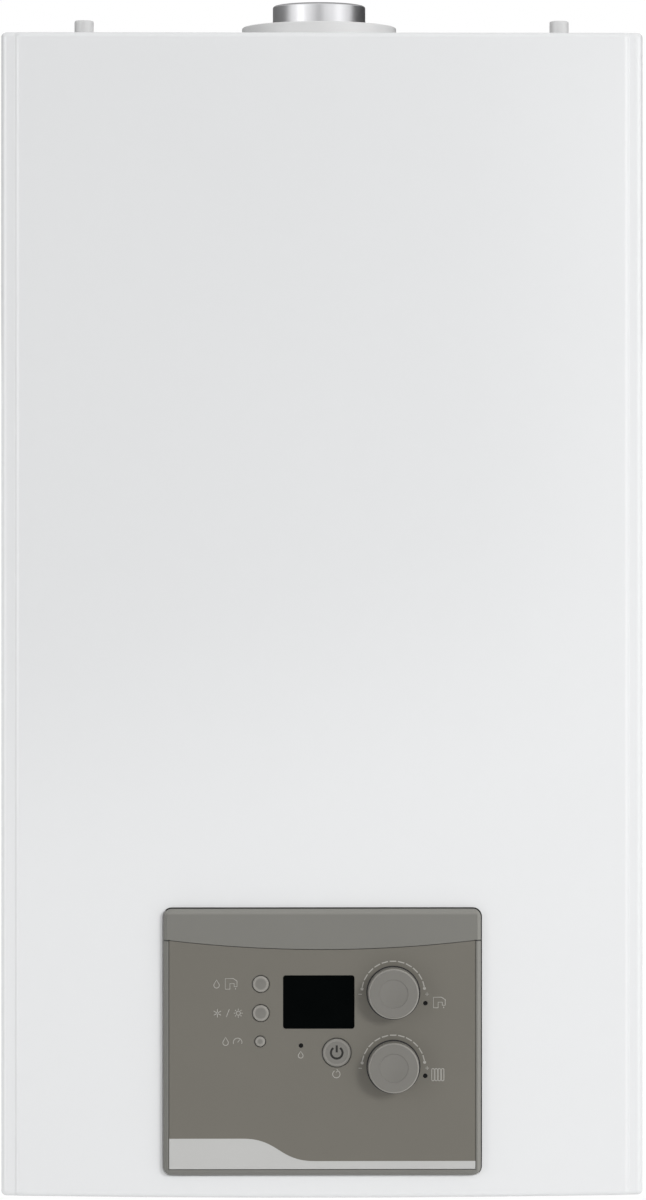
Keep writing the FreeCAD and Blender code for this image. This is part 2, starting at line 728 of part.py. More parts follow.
def accent_strip():
    return fascia_outline(FASCIA_GAP, PANEL_FRONT, FASCIA_BACK).common(accent_area())


def control_fascia():
    fascia = fascia_outline(FASCIA_GAP, PANEL_FRONT, FASCIA_BACK).cut(accent_area())
    cuts = [plate(
        DISPLAY_X, PANEL_Z + DISPLAY_Z, DISPLAY_WIDTH + 2 * DISPLAY_GAP, DISPLAY_HEIGHT + 2 * DISPLAY_GAP,
        DISPLAY_CORNER_R, PANEL_FRONT, FASCIA_BACK,
    )]
    for x, z, radius in BUTTONS.values():
        cuts.append(rod(panel_point(x, PANEL_FRONT, z), BACK, FASCIA_T, radius + BUTTON_RING))
    for x, z in LAMPS:
        cuts.append(rod(panel_point(x, PANEL_FRONT, z), BACK, FASCIA_T, LAMP_R + LAMP_GAP))
    for x, z in KNOBS.values():
        cuts.append(rod(panel_point(x, PANEL_FRONT, z), BACK, FASCIA_T, KNOB_SHAFT_R + SHAFT_HOLE_GAP))
    return fascia.cut(cuts)


def display_window():
    return plate(
        DISPLAY_X, PANEL_Z + DISPLAY_Z, DISPLAY_WIDTH, DISPLAY_HEIGHT, DISPLAY_CORNER_R,
        PANEL_FRONT + DISPLAY_GAP, FASCIA_BACK,
    )


def display_module():
    width, height = DISPLAY_WIDTH + 2 * MODULE_RIM, DISPLAY_HEIGHT + 2 * MODULE_RIM
    return plate(DISPLAY_X, PANEL_Z + DISPLAY_Z, width, height, DISPLAY_CORNER_R, FASCIA_BACK, BOARD_FRONT)


def indicator_lenses():
    length = BOARD_FRONT - PANEL_FRONT - DISPLAY_GAP
    return group([rod(panel_point(x, PANEL_FRONT + DISPLAY_GAP, z), BACK, length, LAMP_R) for x, z in LAMPS])


def encoder_mouth():
    """Y of the front of the knob encoders."""
    return BOARD_FRONT - ENCODER_T - ENCODER_NECK


def knob(x, z):
    """Tapered knob with a rounded edge and a dished face, on its shaft."""
    back = PANEL_FRONT - KNOB_GAP
    cap = Part.makeCone(KNOB_R, KNOB_R - KNOB_TAPER, KNOB_LENGTH, panel_point(x, back, z), FORWARD)
    face = back - KNOB_LENGTH
    cap = cap.makeFillet(KNOB_EDGE_R, edges_at(cap, BACK, face))
    ball_r = (KNOB_DISH_R ** 2 + KNOB_DISH ** 2) / (2 * KNOB_DISH)
    cap = cap.cut(Part.makeSphere(ball_r, panel_point(x, face + KNOB_DISH - ball_r, z)))
    shaft = rod(panel_point(x, back, z), BACK, BOARD_FRONT - ENCODER_T / 2 - back, KNOB_SHAFT_R)
    return fused([cap, shaft])


def knob_encoders():
    encoders = []
    half = ENCODER_SIZE / 2
    bore_length = BOARD_FRONT - ENCODER_T / 2 + END_GAP - encoder_mouth()
    for x, z in KNOBS.values():
        low, high = PANEL_Z + z - half, PANEL_Z + z + half
        case = block(x - half, x + half, BOARD_FRONT - ENCODER_T, BOARD_FRONT, low, high)
        mouth = panel_point(x, encoder_mouth(), z)
        neck = rod(mouth, BACK, ENCODER_NECK, ENCODER_NECK_R)
        bore = rod(mouth, BACK, bore_length, KNOB_SHAFT_R + RUNNING_GAP)
        encoders.append(fused([case, neck]).cut(bore))
    return group(encoders)


def button(x, z, radius):
    """Domed cap in its hole, a rim that stops it behind the fascia and a stem to the switch."""
    face = PANEL_FRONT - BUTTON_PROUD
    rim_front = FASCIA_BACK + BUTTON_REST_GAP
    cap = rod(panel_point(x, face, z), BACK, rim_front - face, radius)
    cap = cap.makeFillet(BUTTON_EDGE_R, edges_at(cap, BACK, face))
    rim = rod(panel_point(x, rim_front, z), BACK, BUTTON_FLANGE_T, radius + BUTTON_RING + BUTTON_FLANGE)
    stem_end = BOARD_FRONT - SWITCH_T - BUTTON_TRAVEL - END_GAP
    stem_start = rim_front + BUTTON_FLANGE_T
    return fused([cap, rim, rod(panel_point(x, stem_start, z), BACK, stem_end - stem_start, BUTTON_STEM_R)])


def button_switches():
    half = SWITCH_SIZE / 2
    cases = []
    for x, z, radius in BUTTONS.values():
        y0, middle = BOARD_FRONT - SWITCH_T, PANEL_Z + z
        cases.append(block(x - half, x + half, y0, BOARD_FRONT, middle - half, middle + half))
    return group(cases)


def control_board():
    """Printed board with its transformer, relays and plug row behind."""
    half, tall = BOARD_WIDTH / 2, BOARD_HEIGHT / 2
    board = block(-half, half, BOARD_FRONT, BOARD_BACK, PANEL_Z - tall, PANEL_Z + tall)
    parts = [board]
    placed = [(TRANSFORMER, TRANSFORMER_PLACE), (PLUG_ROW, PLUG_ROW_PLACE)]
    placed += [(RELAY, place) for place in RELAY_PLACES]
    for (width, height, depth), (x, z) in placed:
        low = PANEL_Z + z
        parts.append(block(x, x + width, BOARD_BACK, BOARD_BACK + depth, low, low + height))
    return fused(parts)


def control_box():
    """Tray behind the panel: four posts for the board and two lugs that stand on the bottom rail."""
    width, height = PANEL_WIDTH - 2 * BOX_INSET, PANEL_HEIGHT - 2 * BOX_INSET
    tray = plate(0, PANEL_Z, width, height, PANEL_CORNER_R - BOX_INSET, PANEL_BACK, BOX_BACK)
    room = plate(
        0, PANEL_Z, width - 2 * BOX_WALL, height - 2 * BOX_WALL,
        PANEL_CORNER_R - BOX_INSET - BOX_WALL, PANEL_BACK, BOX_BACK - BOX_WALL,
    )
    parts = [tray.cut(room)]
    post = BOX_BACK - BOX_WALL - BOARD_BACK
    for x in mirrored_pair(BOARD_WIDTH - 2 * BOX_POST_INSET):
        for z in mirrored_pair(BOARD_HEIGHT - 2 * BOX_POST_INSET):
            parts.append(rod(panel_point(x, BOARD_BACK, z), BACK, post, BOX_POST_R))
    for x in mirrored_pair(BOX_LUG_SPACING):
        x0, x1 = x - BOX_LUG_WIDTH / 2, x + BOX_LUG_WIDTH / 2
        floor = PANEL_Z - height / 2 + BOX_WALL
        parts.append(block(x0, x1, PANEL_BACK, COVER_BACK - RAIL_SHEET, RAIL_Z + RAIL_SHEET, floor))
    return fused(parts)


# Sealed chamber


def chamber_passages():
    """Centre and radius of the pipes that come up through the chamber floor."""
    rows = water_rows()
    return [(-BLOCK_X, rows[0], WATER_R), (BLOCK_X, rows[-1], WATER_R), (0, MANIFOLD_Y, GAS_R)]


def sealed_chamber():
    """Sheet box, open at the front, with a lip for its cover and ears that reach the side panels."""
    x, z0, z1 = CHAMBER_HALF, up(CHAMBER_FLOOR), up(CHAMBER_TOP)
    box = block(-x, x, CHAMBER_FRONT, CHAMBER_REAR, z0, z1)
    lip = block(-x - CHAMBER_LIP, x + CHAMBER_LIP, CHAMBER_FRONT, CHAMBER_FRONT + SHEET,
                z0 - CHAMBER_LIP, z1 + CHAMBER_LIP)
    ear_x = HALF - SHEET
    ears = block(-ear_x, ear_x, CHAMBER_REAR - SHEET, CHAMBER_REAR, z0 + CHAMBER_LIP, z1 - CHAMBER_LIP)
    room = block(-x + SHEET, x - SHEET, CHAMBER_FRONT, CHAMBER_REAR - SHEET, z0 + SHEET, z1 - SHEET)
    box = fused([box, lip, ears]).cut(room)
    cuts = [rod(V(0, FLUE_Y, z1 - SHEET), TOP, SHEET, COLLAR_R - COLLAR_WALL)]
    for pipe_x, pipe_y, radius in chamber_passages():
        cuts.append(rod(V(pipe_x, pipe_y, z0), TOP, SHEET, radius + PIPE_GAP))
    return box.cut(cuts)


def chamber_cover():
    """Plate over the chamber's front, pressed out in the middle, with a sight hole."""
    x, z0, z1 = CHAMBER_HALF + CHAMBER_LIP, up(CHAMBER_FLOOR) - CHAMBER_LIP, up(CHAMBER_TOP) + CHAMBER_LIP
    flat = block(-x, x, CHAMBER_FRONT - SHEET, CHAMBER_FRONT, z0, z1)

    def rim(grow, depth):
        half, low, high = x - SWELL_INSET - grow, z0 + SWELL_INSET + grow, z1 - SWELL_INSET - grow
        return level_rectangle(half, CHAMBER_FRONT - SHEET - depth, low, high)

    gain = SWELL_WALL_GAIN * SHEET
    swell = Part.makeLoft([rim(0, 0), rim(SWELL, SWELL)], True, True)
    hollow = Part.makeLoft([rim(gain, -SHEET), rim(SWELL + gain, SWELL - SHEET)], True, True)
    cuts = [hollow, rod(sight_place(), BACK, SHEET, SIGHT_R - LEDGE)]
    for place in chamber_screw_places():
        cuts.append(rod(place, BACK, SHEET, SCREW_R + SCREW_GAP))
    return fused([flat, swell]).cut(cuts)


def level_rectangle(half, y, low, high):
    """Upright rectangle about the middle plane, at one depth."""
    corners = [V(-half, y, low), V(half, y, low), V(half, y, high), V(-half, y, high)]
    return Part.makePolygon(corners + corners[:1])


def sight_place():
    """Middle of the sight hole, on the front of the chamber cover, level with the flames."""
    return V(0, CHAMBER_FRONT - SHEET - SWELL, SHROUD_Z + SIGHT_R)


def sight_glass():
    """Round glass in its rim, on the front of the chamber cover."""
    glass = rod(sight_place(), FORWARD, LEDGE, SIGHT_R)
    return glass.makeChamfer(LEDGE / 2, edges_at(glass, BACK, sight_place().y - LEDGE))


def chamber_screw_places():
    """Eight places round the chamber's lip: its corners and the middles of its sides."""
    inset = CHAMBER_LIP / 2
    x, low, high = CHAMBER_HALF + inset, up(CHAMBER_FLOOR) - inset, up(CHAMBER_TOP) + inset
    places = [(side, z) for side in (-x, x) for z in (low, (low + high) / 2, high)]
    return [V(a, CHAMBER_FRONT - SHEET, b) for a, b in places + [(0, low), (0, high)]]


def throat_r():
    """Outer radius of the collar's throat, which passes the top panel."""
    return COLLAR_R - COLLAR_STEP


def flue_gasket():
    """Soft ring between the chamber's top and the collar's throat."""
    foot = V(0, FLUE_Y, up(CHAMBER_TOP))
    return sleeve(foot, TOP, GASKET_T, throat_r() + GASKET_RIM, COLLAR_R - COLLAR_WALL)


def flue_collar():
    """Air collar: a shouldered ring on the top panel, with a throat down to the chamber."""
    bore = COLLAR_R - COLLAR_WALL
    foot = up(CHAMBER_TOP) + GASKET_T
    seat, rim = Z_TOP - foot, Z_TOP + COLLAR_RISE - foot
    profile = [(bore, 0), (throat_r(), 0), (throat_r(), seat), (COLLAR_R, seat)]
    profile += [(COLLAR_R, rim), (bore, rim)]
    collar = turned(profile, V(0, FLUE_Y, foot), TOP)
    edge = [e for e in edges_at(collar, TOP, Z_TOP + COLLAR_RISE) if e.Curve.Radius > bore + COLLAR_WALL / 2]
    return collar.makeFillet(COLLAR_EDGE_R, edge)


def flue_spigot():
    """Bright metal tube that stands on the fan's outlet, round its neck."""
    tall = Z_TOP + SPIGOT_RISE - FAN_OUTLET_Z
    return sleeve(V(0, FLUE_Y, FAN_OUTLET_Z), TOP, tall, SPIGOT_R, SPIGOT_R - SPIGOT_WALL)


def scroll(inset, y0, y1):
    """Spiral fan case: four arcs whose centres step round the axis, then the straight outlet."""
    big = FAN_R - inset
    s, y = FAN_STEP, y0
    tongue_x = FAN_X + FAN_R - 2 * SPIGOT_R + inset
    last_r = FAN_R - 3 * s - inset
    tongue_z = FAN_Z + math.sqrt(last_r ** 2 - (tongue_x - FAN_X + s) ** 2)
    centres = [(FAN_X, FAN_Z, big), (FAN_X, FAN_Z - s, big - s), (FAN_X - s, FAN_Z - s, big - 2 * s)]
    edges = []
    for quarter, (x, z, radius) in enumerate(centres):
        turn = [-math.radians(90 * quarter + step) for step in (0, 45, 90)]
        arc = [V(x + radius * math.cos(a), y, z + radius * math.sin(a)) for a in turn]
        edges.append(Part.Arc(*arc).toShape())
    end_turn = math.atan2(tongue_z - FAN_Z, tongue_x - FAN_X + s)
    turn = [math.pi / 2, (math.pi / 2 + end_turn) / 2, end_turn]
    arc = [V(FAN_X - s + last_r * math.cos(a), y, FAN_Z + last_r * math.sin(a)) for a in turn]
    edges.append(Part.Arc(*arc).toShape())
    outlet = [V(tongue_x, y, tongue_z), V(tongue_x, y, FAN_OUTLET_Z), V(FAN_X + big, y, FAN_OUTLET_Z)]
    outlet.append(V(FAN_X + big, y, FAN_Z))
    edges += [Part.LineSegment(a, b).toShape() for a, b in zip(outlet, outlet[1:])]
    return Part.Face(Part.Wire(edges)).extrude(V(0, y1 - y0, 0))


def fan_axis(y):
    """Place on the fan's axis."""
    return V(FAN_X, y, FAN_Z)


def fan_housing():
    """Spiral sheet case with an inlet behind, and an outlet flange with a neck inside the flue tube."""
    case = scroll(0, FAN_FRONT, FAN_REAR).cut(scroll(FAN_WALL, FAN_FRONT + FAN_WALL, FAN_REAR - FAN_WALL))
    half, foot = SPIGOT_R + OUTLET_RIM, V(0, FAN_Y, FAN_OUTLET_Z - 2 * FAN_WALL)
    flange = block(-half, half, FAN_Y - half, FAN_Y + half, foot.z, FAN_OUTLET_Z)
    neck_r, tall = SPIGOT_R - SPIGOT_WALL - NECK_GAP, 2 * FAN_WALL + NECK_RISE
    cuts = [rod(foot, TOP, tall, neck_r - NECK_WALL)]
    cuts.append(rod(fan_axis(FAN_REAR - FAN_WALL), BACK, FAN_WALL, FAN_THROAT_R))
    cuts.append(rod(fan_axis(FAN_FRONT), BACK, FAN_WALL, IMPELLER_HUB_R))
    return fused([case, flange, rod(foot, TOP, tall, neck_r)]).cut(cuts)


def fan_impeller():
    """Drum of leaning blades between a disc and an eye ring, on its shaft."""
    y0 = FAN_FRONT + FAN_WALL + IMPELLER_CLEAR
    y1 = FAN_REAR - FAN_WALL - IMPELLER_CLEAR
    disc = rod(fan_axis(y0), BACK, IMPELLER_DISC, IMPELLER_R)
    eye = sleeve(fan_axis(y1 - IMPELLER_DISC), BACK, IMPELLER_DISC, IMPELLER_R, IMPELLER_EYE_R)
    hub = rod(fan_axis(y0), BACK, IMPELLER_HUB, IMPELLER_HUB_R)
    shaft_tip = FAN_FRONT - SHAFT_DEPTH
    parts = [disc, eye, hub, rod(fan_axis(shaft_tip), BACK, y0 - shaft_tip, FAN_SHAFT_R)]
    middle = (IMPELLER_R + IMPELLER_EYE_R) / 2
    chord = IMPELLER_R - IMPELLER_EYE_R
    for i in range(BLADES):
        blade = block(-chord / 2, chord / 2, y0, y1, -BLADE_T / 2, BLADE_T / 2)
        blade.rotate(V(0, 0, 0), BACK, BLADE_LEAN)
        blade.translate(V(middle, 0, 0))
        blade.rotate(V(0, 0, 0), BACK, 360 * i / BLADES)
        blade.translate(V(FAN_X, 0, FAN_Z))
        parts.append(blade)
    return fused(parts)


def fan_motor():
    """Motor can on the front of the fan case, with a bearing bore for the shaft."""
    tip = MOTOR_LENGTH + MOTOR_CAP
    profile = [(0, 0), (MOTOR_R, 0), (MOTOR_R, MOTOR_LENGTH), (MOTOR_CAP_R, MOTOR_LENGTH)]
    profile += [(MOTOR_CAP_R, tip), (0, tip)]
    motor = turned(profile, fan_axis(FAN_FRONT), FORWARD)
    return motor.cut(rod(fan_axis(FAN_FRONT), FORWARD, SHAFT_DEPTH + END_GAP, FAN_SHAFT_R + RUNNING_GAP))


def flat_rectangle(x0, x1, y0, y1, z):
    """Level rectangle at one height."""
    corners = [V(x0, y0, z), V(x1, y0, z), V(x1, y1, z), V(x0, y1, z)]
    return Part.makePolygon(corners + corners[:1])


def hood_solid(inset):
    """Flue-gas hood: a slanted collector under a flat chimney behind the fan."""
    half, chimney = STACK_HALF - inset, CHIMNEY_HALF - inset
    rear = FAN_REAR + CHIMNEY_DEPTH - inset
    mouth = flat_rectangle(-half, half, STACK_FRONT + inset, STACK_BACK - inset, HOOD_Z)
    neck = flat_rectangle(FAN_X - chimney, FAN_X + chimney, FAN_REAR + inset, rear, HOOD_TOP)
    collector = Part.makeLoft([mouth, neck], True, True)
    tower_top = FAN_Z + FAN_THROAT_R + CHIMNEY_MARGIN - inset
    tower = block(FAN_X - chimney, FAN_X + chimney, FAN_REAR + inset, rear, HOOD_TOP, tower_top)
    return collector.fuse(tower)


def flue_hood():
    hood = hood_solid(0).cut(hood_solid(HOOD_WALL)).removeSplitter()
    return hood.cut(rod(fan_axis(FAN_REAR), BACK, HOOD_WALL, FAN_THROAT_R))


def water_rows():
    """Y of the water passes through the exchanger, front to back."""
    return [STACK_Y + (i - (WATER_PASSES - 1) / 2) * WATER_PITCH for i in range(WATER_PASSES)]


def heat_exchanger():
    """Finned block with a comb of fins above and below its core, and return bends at the sides."""
    low, high = EXCHANGER_Z, EXCHANGER_Z + EXCHANGER_HEIGHT
    core_low, core_high = low + FIN_REACH, high - FIN_REACH
    count = int(2 * STACK_HALF / FIN_PITCH)
    core = block(-STACK_HALF, STACK_HALF, STACK_FRONT, STACK_BACK, core_low, core_high)
    upper = []
    for x in [-STACK_HALF + i * FIN_PITCH for i in range(count)] + [STACK_HALF - FIN_T]:
        upper += [(x, core_high), (x, high), (x + FIN_T, high), (x + FIN_T, core_high)]
    lower = [(x, low + high - z) for x, z in reversed(upper)]
    outline = Part.makePolygon([V(x, STACK_FRONT, z) for x, z in upper + lower + upper[:1]])
    comb = Part.Face(outline).extrude(V(0, STACK_DEPTH, 0))
    parts = [comb.fuse(core)]
    rows = water_rows()
    for i, (front, rear) in enumerate(zip(rows, rows[1:])):
        sign = 1 if i % 2 == 0 else -1
        wall, bend = sign * STACK_HALF, WATER_PITCH / 2 - END_GAP
        far = wall + sign * (bend + END_GAP)
        points = [V(wall, front, WATER_Z), V(far, front, WATER_Z)]
        points += [V(far, rear, WATER_Z), V(wall, rear, WATER_Z)]
        parts.append(bent_rod(points, WATER_R, bend))
    return fused(parts)


def combustion_shroud():
    """Four lined walls round the flames, with holes for the electrodes."""
    outer = block(-STACK_HALF, STACK_HALF, STACK_FRONT, STACK_BACK, SHROUD_Z, EXCHANGER_Z)
    w = SHROUD_WALL
    room = block(-STACK_HALF + w, STACK_HALF - w, STACK_FRONT + w, STACK_BACK - w, SHROUD_Z, EXCHANGER_Z)
    walls = outer.cut(room)
    for place in electrode_places():
        walls = walls.cut(rod(place, BACK, w, ELECTRODE_R + SCREW_GAP))
    return walls


def electrode_places():
    """Where the electrodes pass the shroud's front wall."""
    return [V(x, STACK_FRONT, SHROUD_Z + ELECTRODE_RISE) for x in ELECTRODE_X]


def electrodes():
    pins = []
    for place in electrode_places():
        start = place - BACK * (ELECTRODE_LENGTH - 2 * SHROUD_WALL)
        ceramic = rod(start, BACK, ELECTRODE_LENGTH, ELECTRODE_R)
        tip = rod(start + BACK * ELECTRODE_LENGTH, BACK, ELECTRODE_TIP, ELECTRODE_TIP_R)
        pins.append(fused([ceramic, tip]))
    return group(pins)


def ribbon_places():
    """X of the burner ribbons."""
    pitch = (2 * STACK_HALF - 2 * RIBBON_T) / (RIBBONS - 1)
    return [-STACK_HALF + RIBBON_T + i * pitch for i in range(RIBBONS)]


def burner():
    """Row of burner ribbons, each a slim blade on a round mixing tube, on two rails with legs."""
    parts = []
    blade_top = SHROUD_Z - END_GAP
    for x in ribbon_places():
        tube_r = RIBBON_T / 2
        tube = rod(V(x, STACK_FRONT, MANIFOLD_Z), BACK, STACK_DEPTH, tube_r)
        neck = tube_r / 2
        outline = [(x - neck, MANIFOLD_Z), (x + neck, MANIFOLD_Z), (x + tube_r, blade_top - tube_r)]
        outline += [(x + tube_r, blade_top), (x - tube_r, blade_top), (x - tube_r, blade_top - tube_r)]
        wire = Part.makePolygon([V(a, STACK_FRONT, z) for a, z in outline + outline[:1]])
        parts.append(fused([tube, Part.Face(wire).extrude(V(0, STACK_DEPTH, 0))]))
    floor = BURNER_Z - BURNER_LEG
    for y in (STACK_FRONT + BURNER_RAIL, STACK_BACK - 2 * BURNER_RAIL):
        parts.append(block(-STACK_HALF, STACK_HALF, y, y + BURNER_RAIL, BURNER_Z, MANIFOLD_Z))
        for x in (-STACK_HALF, STACK_HALF - BURNER_RAIL):
            parts.append(block(x, x + BURNER_RAIL, y, y + BURNER_RAIL, floor, SHROUD_Z))
    return fused(parts)


def burner_manifold():
    """Gas bar with one nozzle before each ribbon."""
    half = MANIFOLD_SIZE / 2
    low, high = MANIFOLD_Z - half, MANIFOLD_Z + half
    bar = block(-STACK_HALF, STACK_HALF, MANIFOLD_Y - half, MANIFOLD_Y + half, low, high)
    bar = bar.makeFillet(MANIFOLD_EDGE_R, edges_along(bar, RIGHT))
    reach = half + MANIFOLD_GAP - END_GAP
    nozzles = [rod(V(x, MANIFOLD_Y, MANIFOLD_Z), BACK, reach, NOZZLE_R) for x in ribbon_places()]
    return fused([bar] + nozzles)


def air_pressure_switch():
    """Round diaphragm switch on the chamber's right wall, with its two hose nipples."""
    t, r = CAPSULE_T, CAPSULE_R
    place = V(CHAMBER_HALF - SHEET, STACK_Y, FAN_Z)
    profile = [(0, 0), (r / 2, 0), (r / 2, t / 4), (r, t / 4), (r, t / 2), (r / 3, t), (0, t)]
    parts = [turned(profile, place, LEFT)]
    for side in mirrored_pair(NIPPLE_SPACING):
        parts.append(rod(place + LEFT * (t * 3 / 8) + BACK * side, DOWN, NIPPLE_LENGTH, NIPPLE_R))
    return fused(parts)


# Gas and water


def connection(x, radius, bore, riser):
    """Pipe end: a stub with a bore below the shelf, a nut on each side of it, and the riser that goes on."""
    end = Z_BOTTOM - PIPE_DROP
    lower = up(BRACKET_PLATE_H) - NUT_T
    stub = rod(V(x, PIPE_Y, end), TOP, lower - end, radius)
    neck = rod(V(x, PIPE_Y, lower), TOP, NUT_Z + NUT_T - lower, bore)
    nuts = [Part.Face(hexagon(x, radius + NUT_RIM, z)).extrude(V(0, 0, NUT_T)) for z in (lower, NUT_Z)]
    shape = fused([stub, neck, riser] + nuts)
    return shape.cut(rod(V(x, PIPE_Y, end), TOP, lower - end, bore))


def hexagon(x, radius, z):
    """Hexagon outline of a nut on a pipe connection."""
    turns = [math.radians(60 * i) for i in range(7)]
    return Part.makePolygon([V(x + radius * math.cos(a), PIPE_Y + radius * math.sin(a), z) for a in turns])


def heating_connections():
    """Heating flow and return connections, under the diverter valve and the pump."""
    pipes = []
    for x in (-BLOCK_X, BLOCK_X):
        riser = rod(V(x, PIPE_Y, NUT_Z), TOP, up(BLOCK_FOOT) - NUT_Z, LARGE_BORE_R)
        pipes.append(connection(x, LARGE_R, LARGE_BORE_R, riser))
    return group(pipes)


def service_pipe(x):
    """Hot or cold tap-water pipe: up from its connection and back into the plate exchanger."""
    level = up(PORT_LOW)
    points = [V(x, PIPE_Y, NUT_Z), V(x, PIPE_Y, level), V(x, PLATES_FRONT - PORT_LENGTH, level)]
    return connection(x, SMALL_R, SMALL_BORE_R, bent_rod(points, SMALL_BORE_R, WATER_BEND))


def gas_inlet_pipe():
    rise = (NUT_Z + NUT_T + up(VALVE_FOOT)) / 2
    points = [V(0, PIPE_Y, NUT_Z), V(0, PIPE_Y, rise), V(0, VALVE_Y, rise), V(0, VALVE_Y, up(VALVE_FOOT))]
    return connection(0, LARGE_R, LARGE_BORE_R, bent_rod(points, GAS_R, GAS_BEND))


def gas_valve():
    """Cast valve body with its two coils and its regulator cap."""
    z0, z1 = up(VALVE_FOOT), up(VALVE_FOOT + VALVE_HEIGHT)
    body = block(-VALVE_HALF, VALVE_HALF, VALVE_Y - VALVE_DEPTH / 2, VALVE_Y + VALVE_DEPTH / 2, z0, z1)
    body = body.makeFillet(VALVE_EDGE_R, edges_along(body, TOP))
    face, middle = VALVE_Y - VALVE_DEPTH / 2, z0 + VALVE_HEIGHT / 2
    parts = [body, rod(V(REGULATOR_X, face, middle), FORWARD, REGULATOR_LENGTH, REGULATOR_R)]
    for z in mirrored_pair(COIL_SPACING):
        parts.append(rod(V(COIL_X, face, middle + z), FORWARD, COIL_LENGTH, COIL_R))
    return fused(parts)


def gas_feed_pipe():
    """Pipe from the gas valve up through the chamber floor to the burner manifold."""
    level = (up(VALVE_FOOT + VALVE_HEIGHT) + up(CHAMBER_FLOOR)) / 2
    points = [V(0, VALVE_Y, up(VALVE_FOOT + VALVE_HEIGHT)), V(0, VALVE_Y, level), V(0, MANIFOLD_Y, level)]
    points.append(V(0, MANIFOLD_Y, MANIFOLD_Z - MANIFOLD_SIZE / 2))
    return bent_rod(points, GAS_R, GAS_BEND)


def flow_pipe():
    """Hot pipe from the exchanger down the left side to the diverter valve."""
    x, y = -BLOCK_X, water_rows()[0]
    turn = up(CHAMBER_FLOOR - 3 * WATER_BEND)
    points = [V(-STACK_HALF, y, WATER_Z), V(x, y, WATER_Z), V(x, y, turn), V(x, PIPE_Y, turn)]
    points.append(V(x, PIPE_Y, up(BLOCK_FOOT + BLOCK_HEIGHT)))
    return bent_rod(points, WATER_R, WATER_BEND)


def return_pipe():
    """Return pipe from the pump up the right side to the exchanger."""
    x, foot = BLOCK_X, up(BLOCK_FOOT + BLOCK_HEIGHT)
    points = [V(STACK_HALF, PIPE_Y, WATER_Z), V(x, PIPE_Y, WATER_Z), V(x, PIPE_Y, foot)]
    return bent_rod(points, WATER_R, WATER_BEND)


def diverter_valve():
    """Brass three-way body with its motor head to the front."""
    foot = V(-BLOCK_X, PIPE_Y, up(BLOCK_FOOT))
    body = rod(foot, TOP, BLOCK_HEIGHT, BLOCK_R)
    centre = foot + TOP * (BLOCK_HEIGHT / 2)
    reach = BLOCK_R + HEAD_NECK
    neck = rod(centre, FORWARD, reach, HEAD_NECK_R)
    head = rod(centre + FORWARD * reach, FORWARD, HEAD_LENGTH, HEAD_R)
    head = head.makeFillet(HEAD_EDGE_R, edges_at(head, FORWARD, reach + HEAD_LENGTH - PIPE_Y))
    side = rod(foot + TOP * (PORT_HIGH - BLOCK_FOOT), RIGHT, BLOCK_R + LEDGE, PORT_R)
    seat = rod(centre, LEFT, BLOCK_R + LEDGE, TAP_BODY_R)
    return fused([body, neck, head, side, seat])


def circulation_pump():
    """Pump volute with its ports above and below, and the motor can to the front."""
    foot = V(BLOCK_X, PIPE_Y, up(BLOCK_FOOT))
    ports = rod(foot, TOP, BLOCK_HEIGHT, BLOCK_R)
    centre = foot + TOP * (BLOCK_HEIGHT / 2)
    volute = rod(centre + BACK * (PUMP_DEPTH / 2), FORWARD, PUMP_DEPTH, PUMP_R)
    rim, waist = PUMP_CAN_RIM, PUMP_CAN_WAIST_R
    profile = [(0, 0), (PUMP_CAN_R, 0), (PUMP_CAN_R, rim), (waist, rim + PUMP_CAN_SLOPE)]
    profile += [(waist, PUMP_CAN - PUMP_CAN_SLOPE), (PUMP_CAN_TIP_R, PUMP_CAN), (0, PUMP_CAN)]
    can = turned(profile, centre + FORWARD * (PUMP_DEPTH / 2), FORWARD)
    side = rod(foot + TOP * (PORT_HIGH - BLOCK_FOOT), LEFT, PUMP_R + LEDGE, PORT_R)
    return fused([ports, volute, can, side])


def primary_pipes():
    """Short pipes that join the diverter and the pump to the plate exchanger."""
    z, port = up(PORT_HIGH), PLATES_FRONT - PORT_LENGTH
    pipes = []
    for sign, body_r in ((-1, BLOCK_R), (1, PUMP_R)):
        start, x = sign * (BLOCK_X - body_r - LEDGE), sign * PIPE_PITCH
        points = [V(start, PIPE_Y, z), V(x, PIPE_Y, z), V(x, port, z)]
        pipes.append(bent_rod(points, PORT_R - LEDGE, WATER_BEND / 2))
    return group(pipes)


def plate_heat_exchanger():
    """Stack of brazed plates with rounded ends and four ports on its front."""
    z = up(PLATES_FOOT) + PLATES_HEIGHT / 2
    pitch = PLATES_DEPTH / PLATES
    parts = []
    for i in range(PLATES):
        inset = LEDGE if i % 2 else 0
        y = PLATES_FRONT + i * pitch
        width, height = 2 * (PLATES_HALF - inset), PLATES_HEIGHT - 2 * inset
        parts.append(plate(0, z, width, height, PLATES_CORNER_R, y, y + pitch))
    for x in (-PIPE_PITCH, PIPE_PITCH):
        for level in (PORT_LOW, PORT_HIGH):
            parts.append(rod(V(x, PLATES_FRONT, up(level)), FORWARD, PORT_LENGTH, PORT_R))
    return fused(parts)


def safety_valve():
    """Brass relief valve on the left of the diverter body, with a bore for its knob's stem."""
    seat = V(-BLOCK_X - BLOCK_R - LEDGE, PIPE_Y, up(BLOCK_FOOT) + BLOCK_HEIGHT / 2)
    body = rod(seat, LEFT, HANDLE_LENGTH, TAP_BODY_R)
    mouth = seat + LEFT * HANDLE_LENGTH
    return body.cut(rod(mouth, RIGHT, HANDLE_LENGTH / 2 + END_GAP, HANDLE_SHAFT_R + RUNNING_GAP))


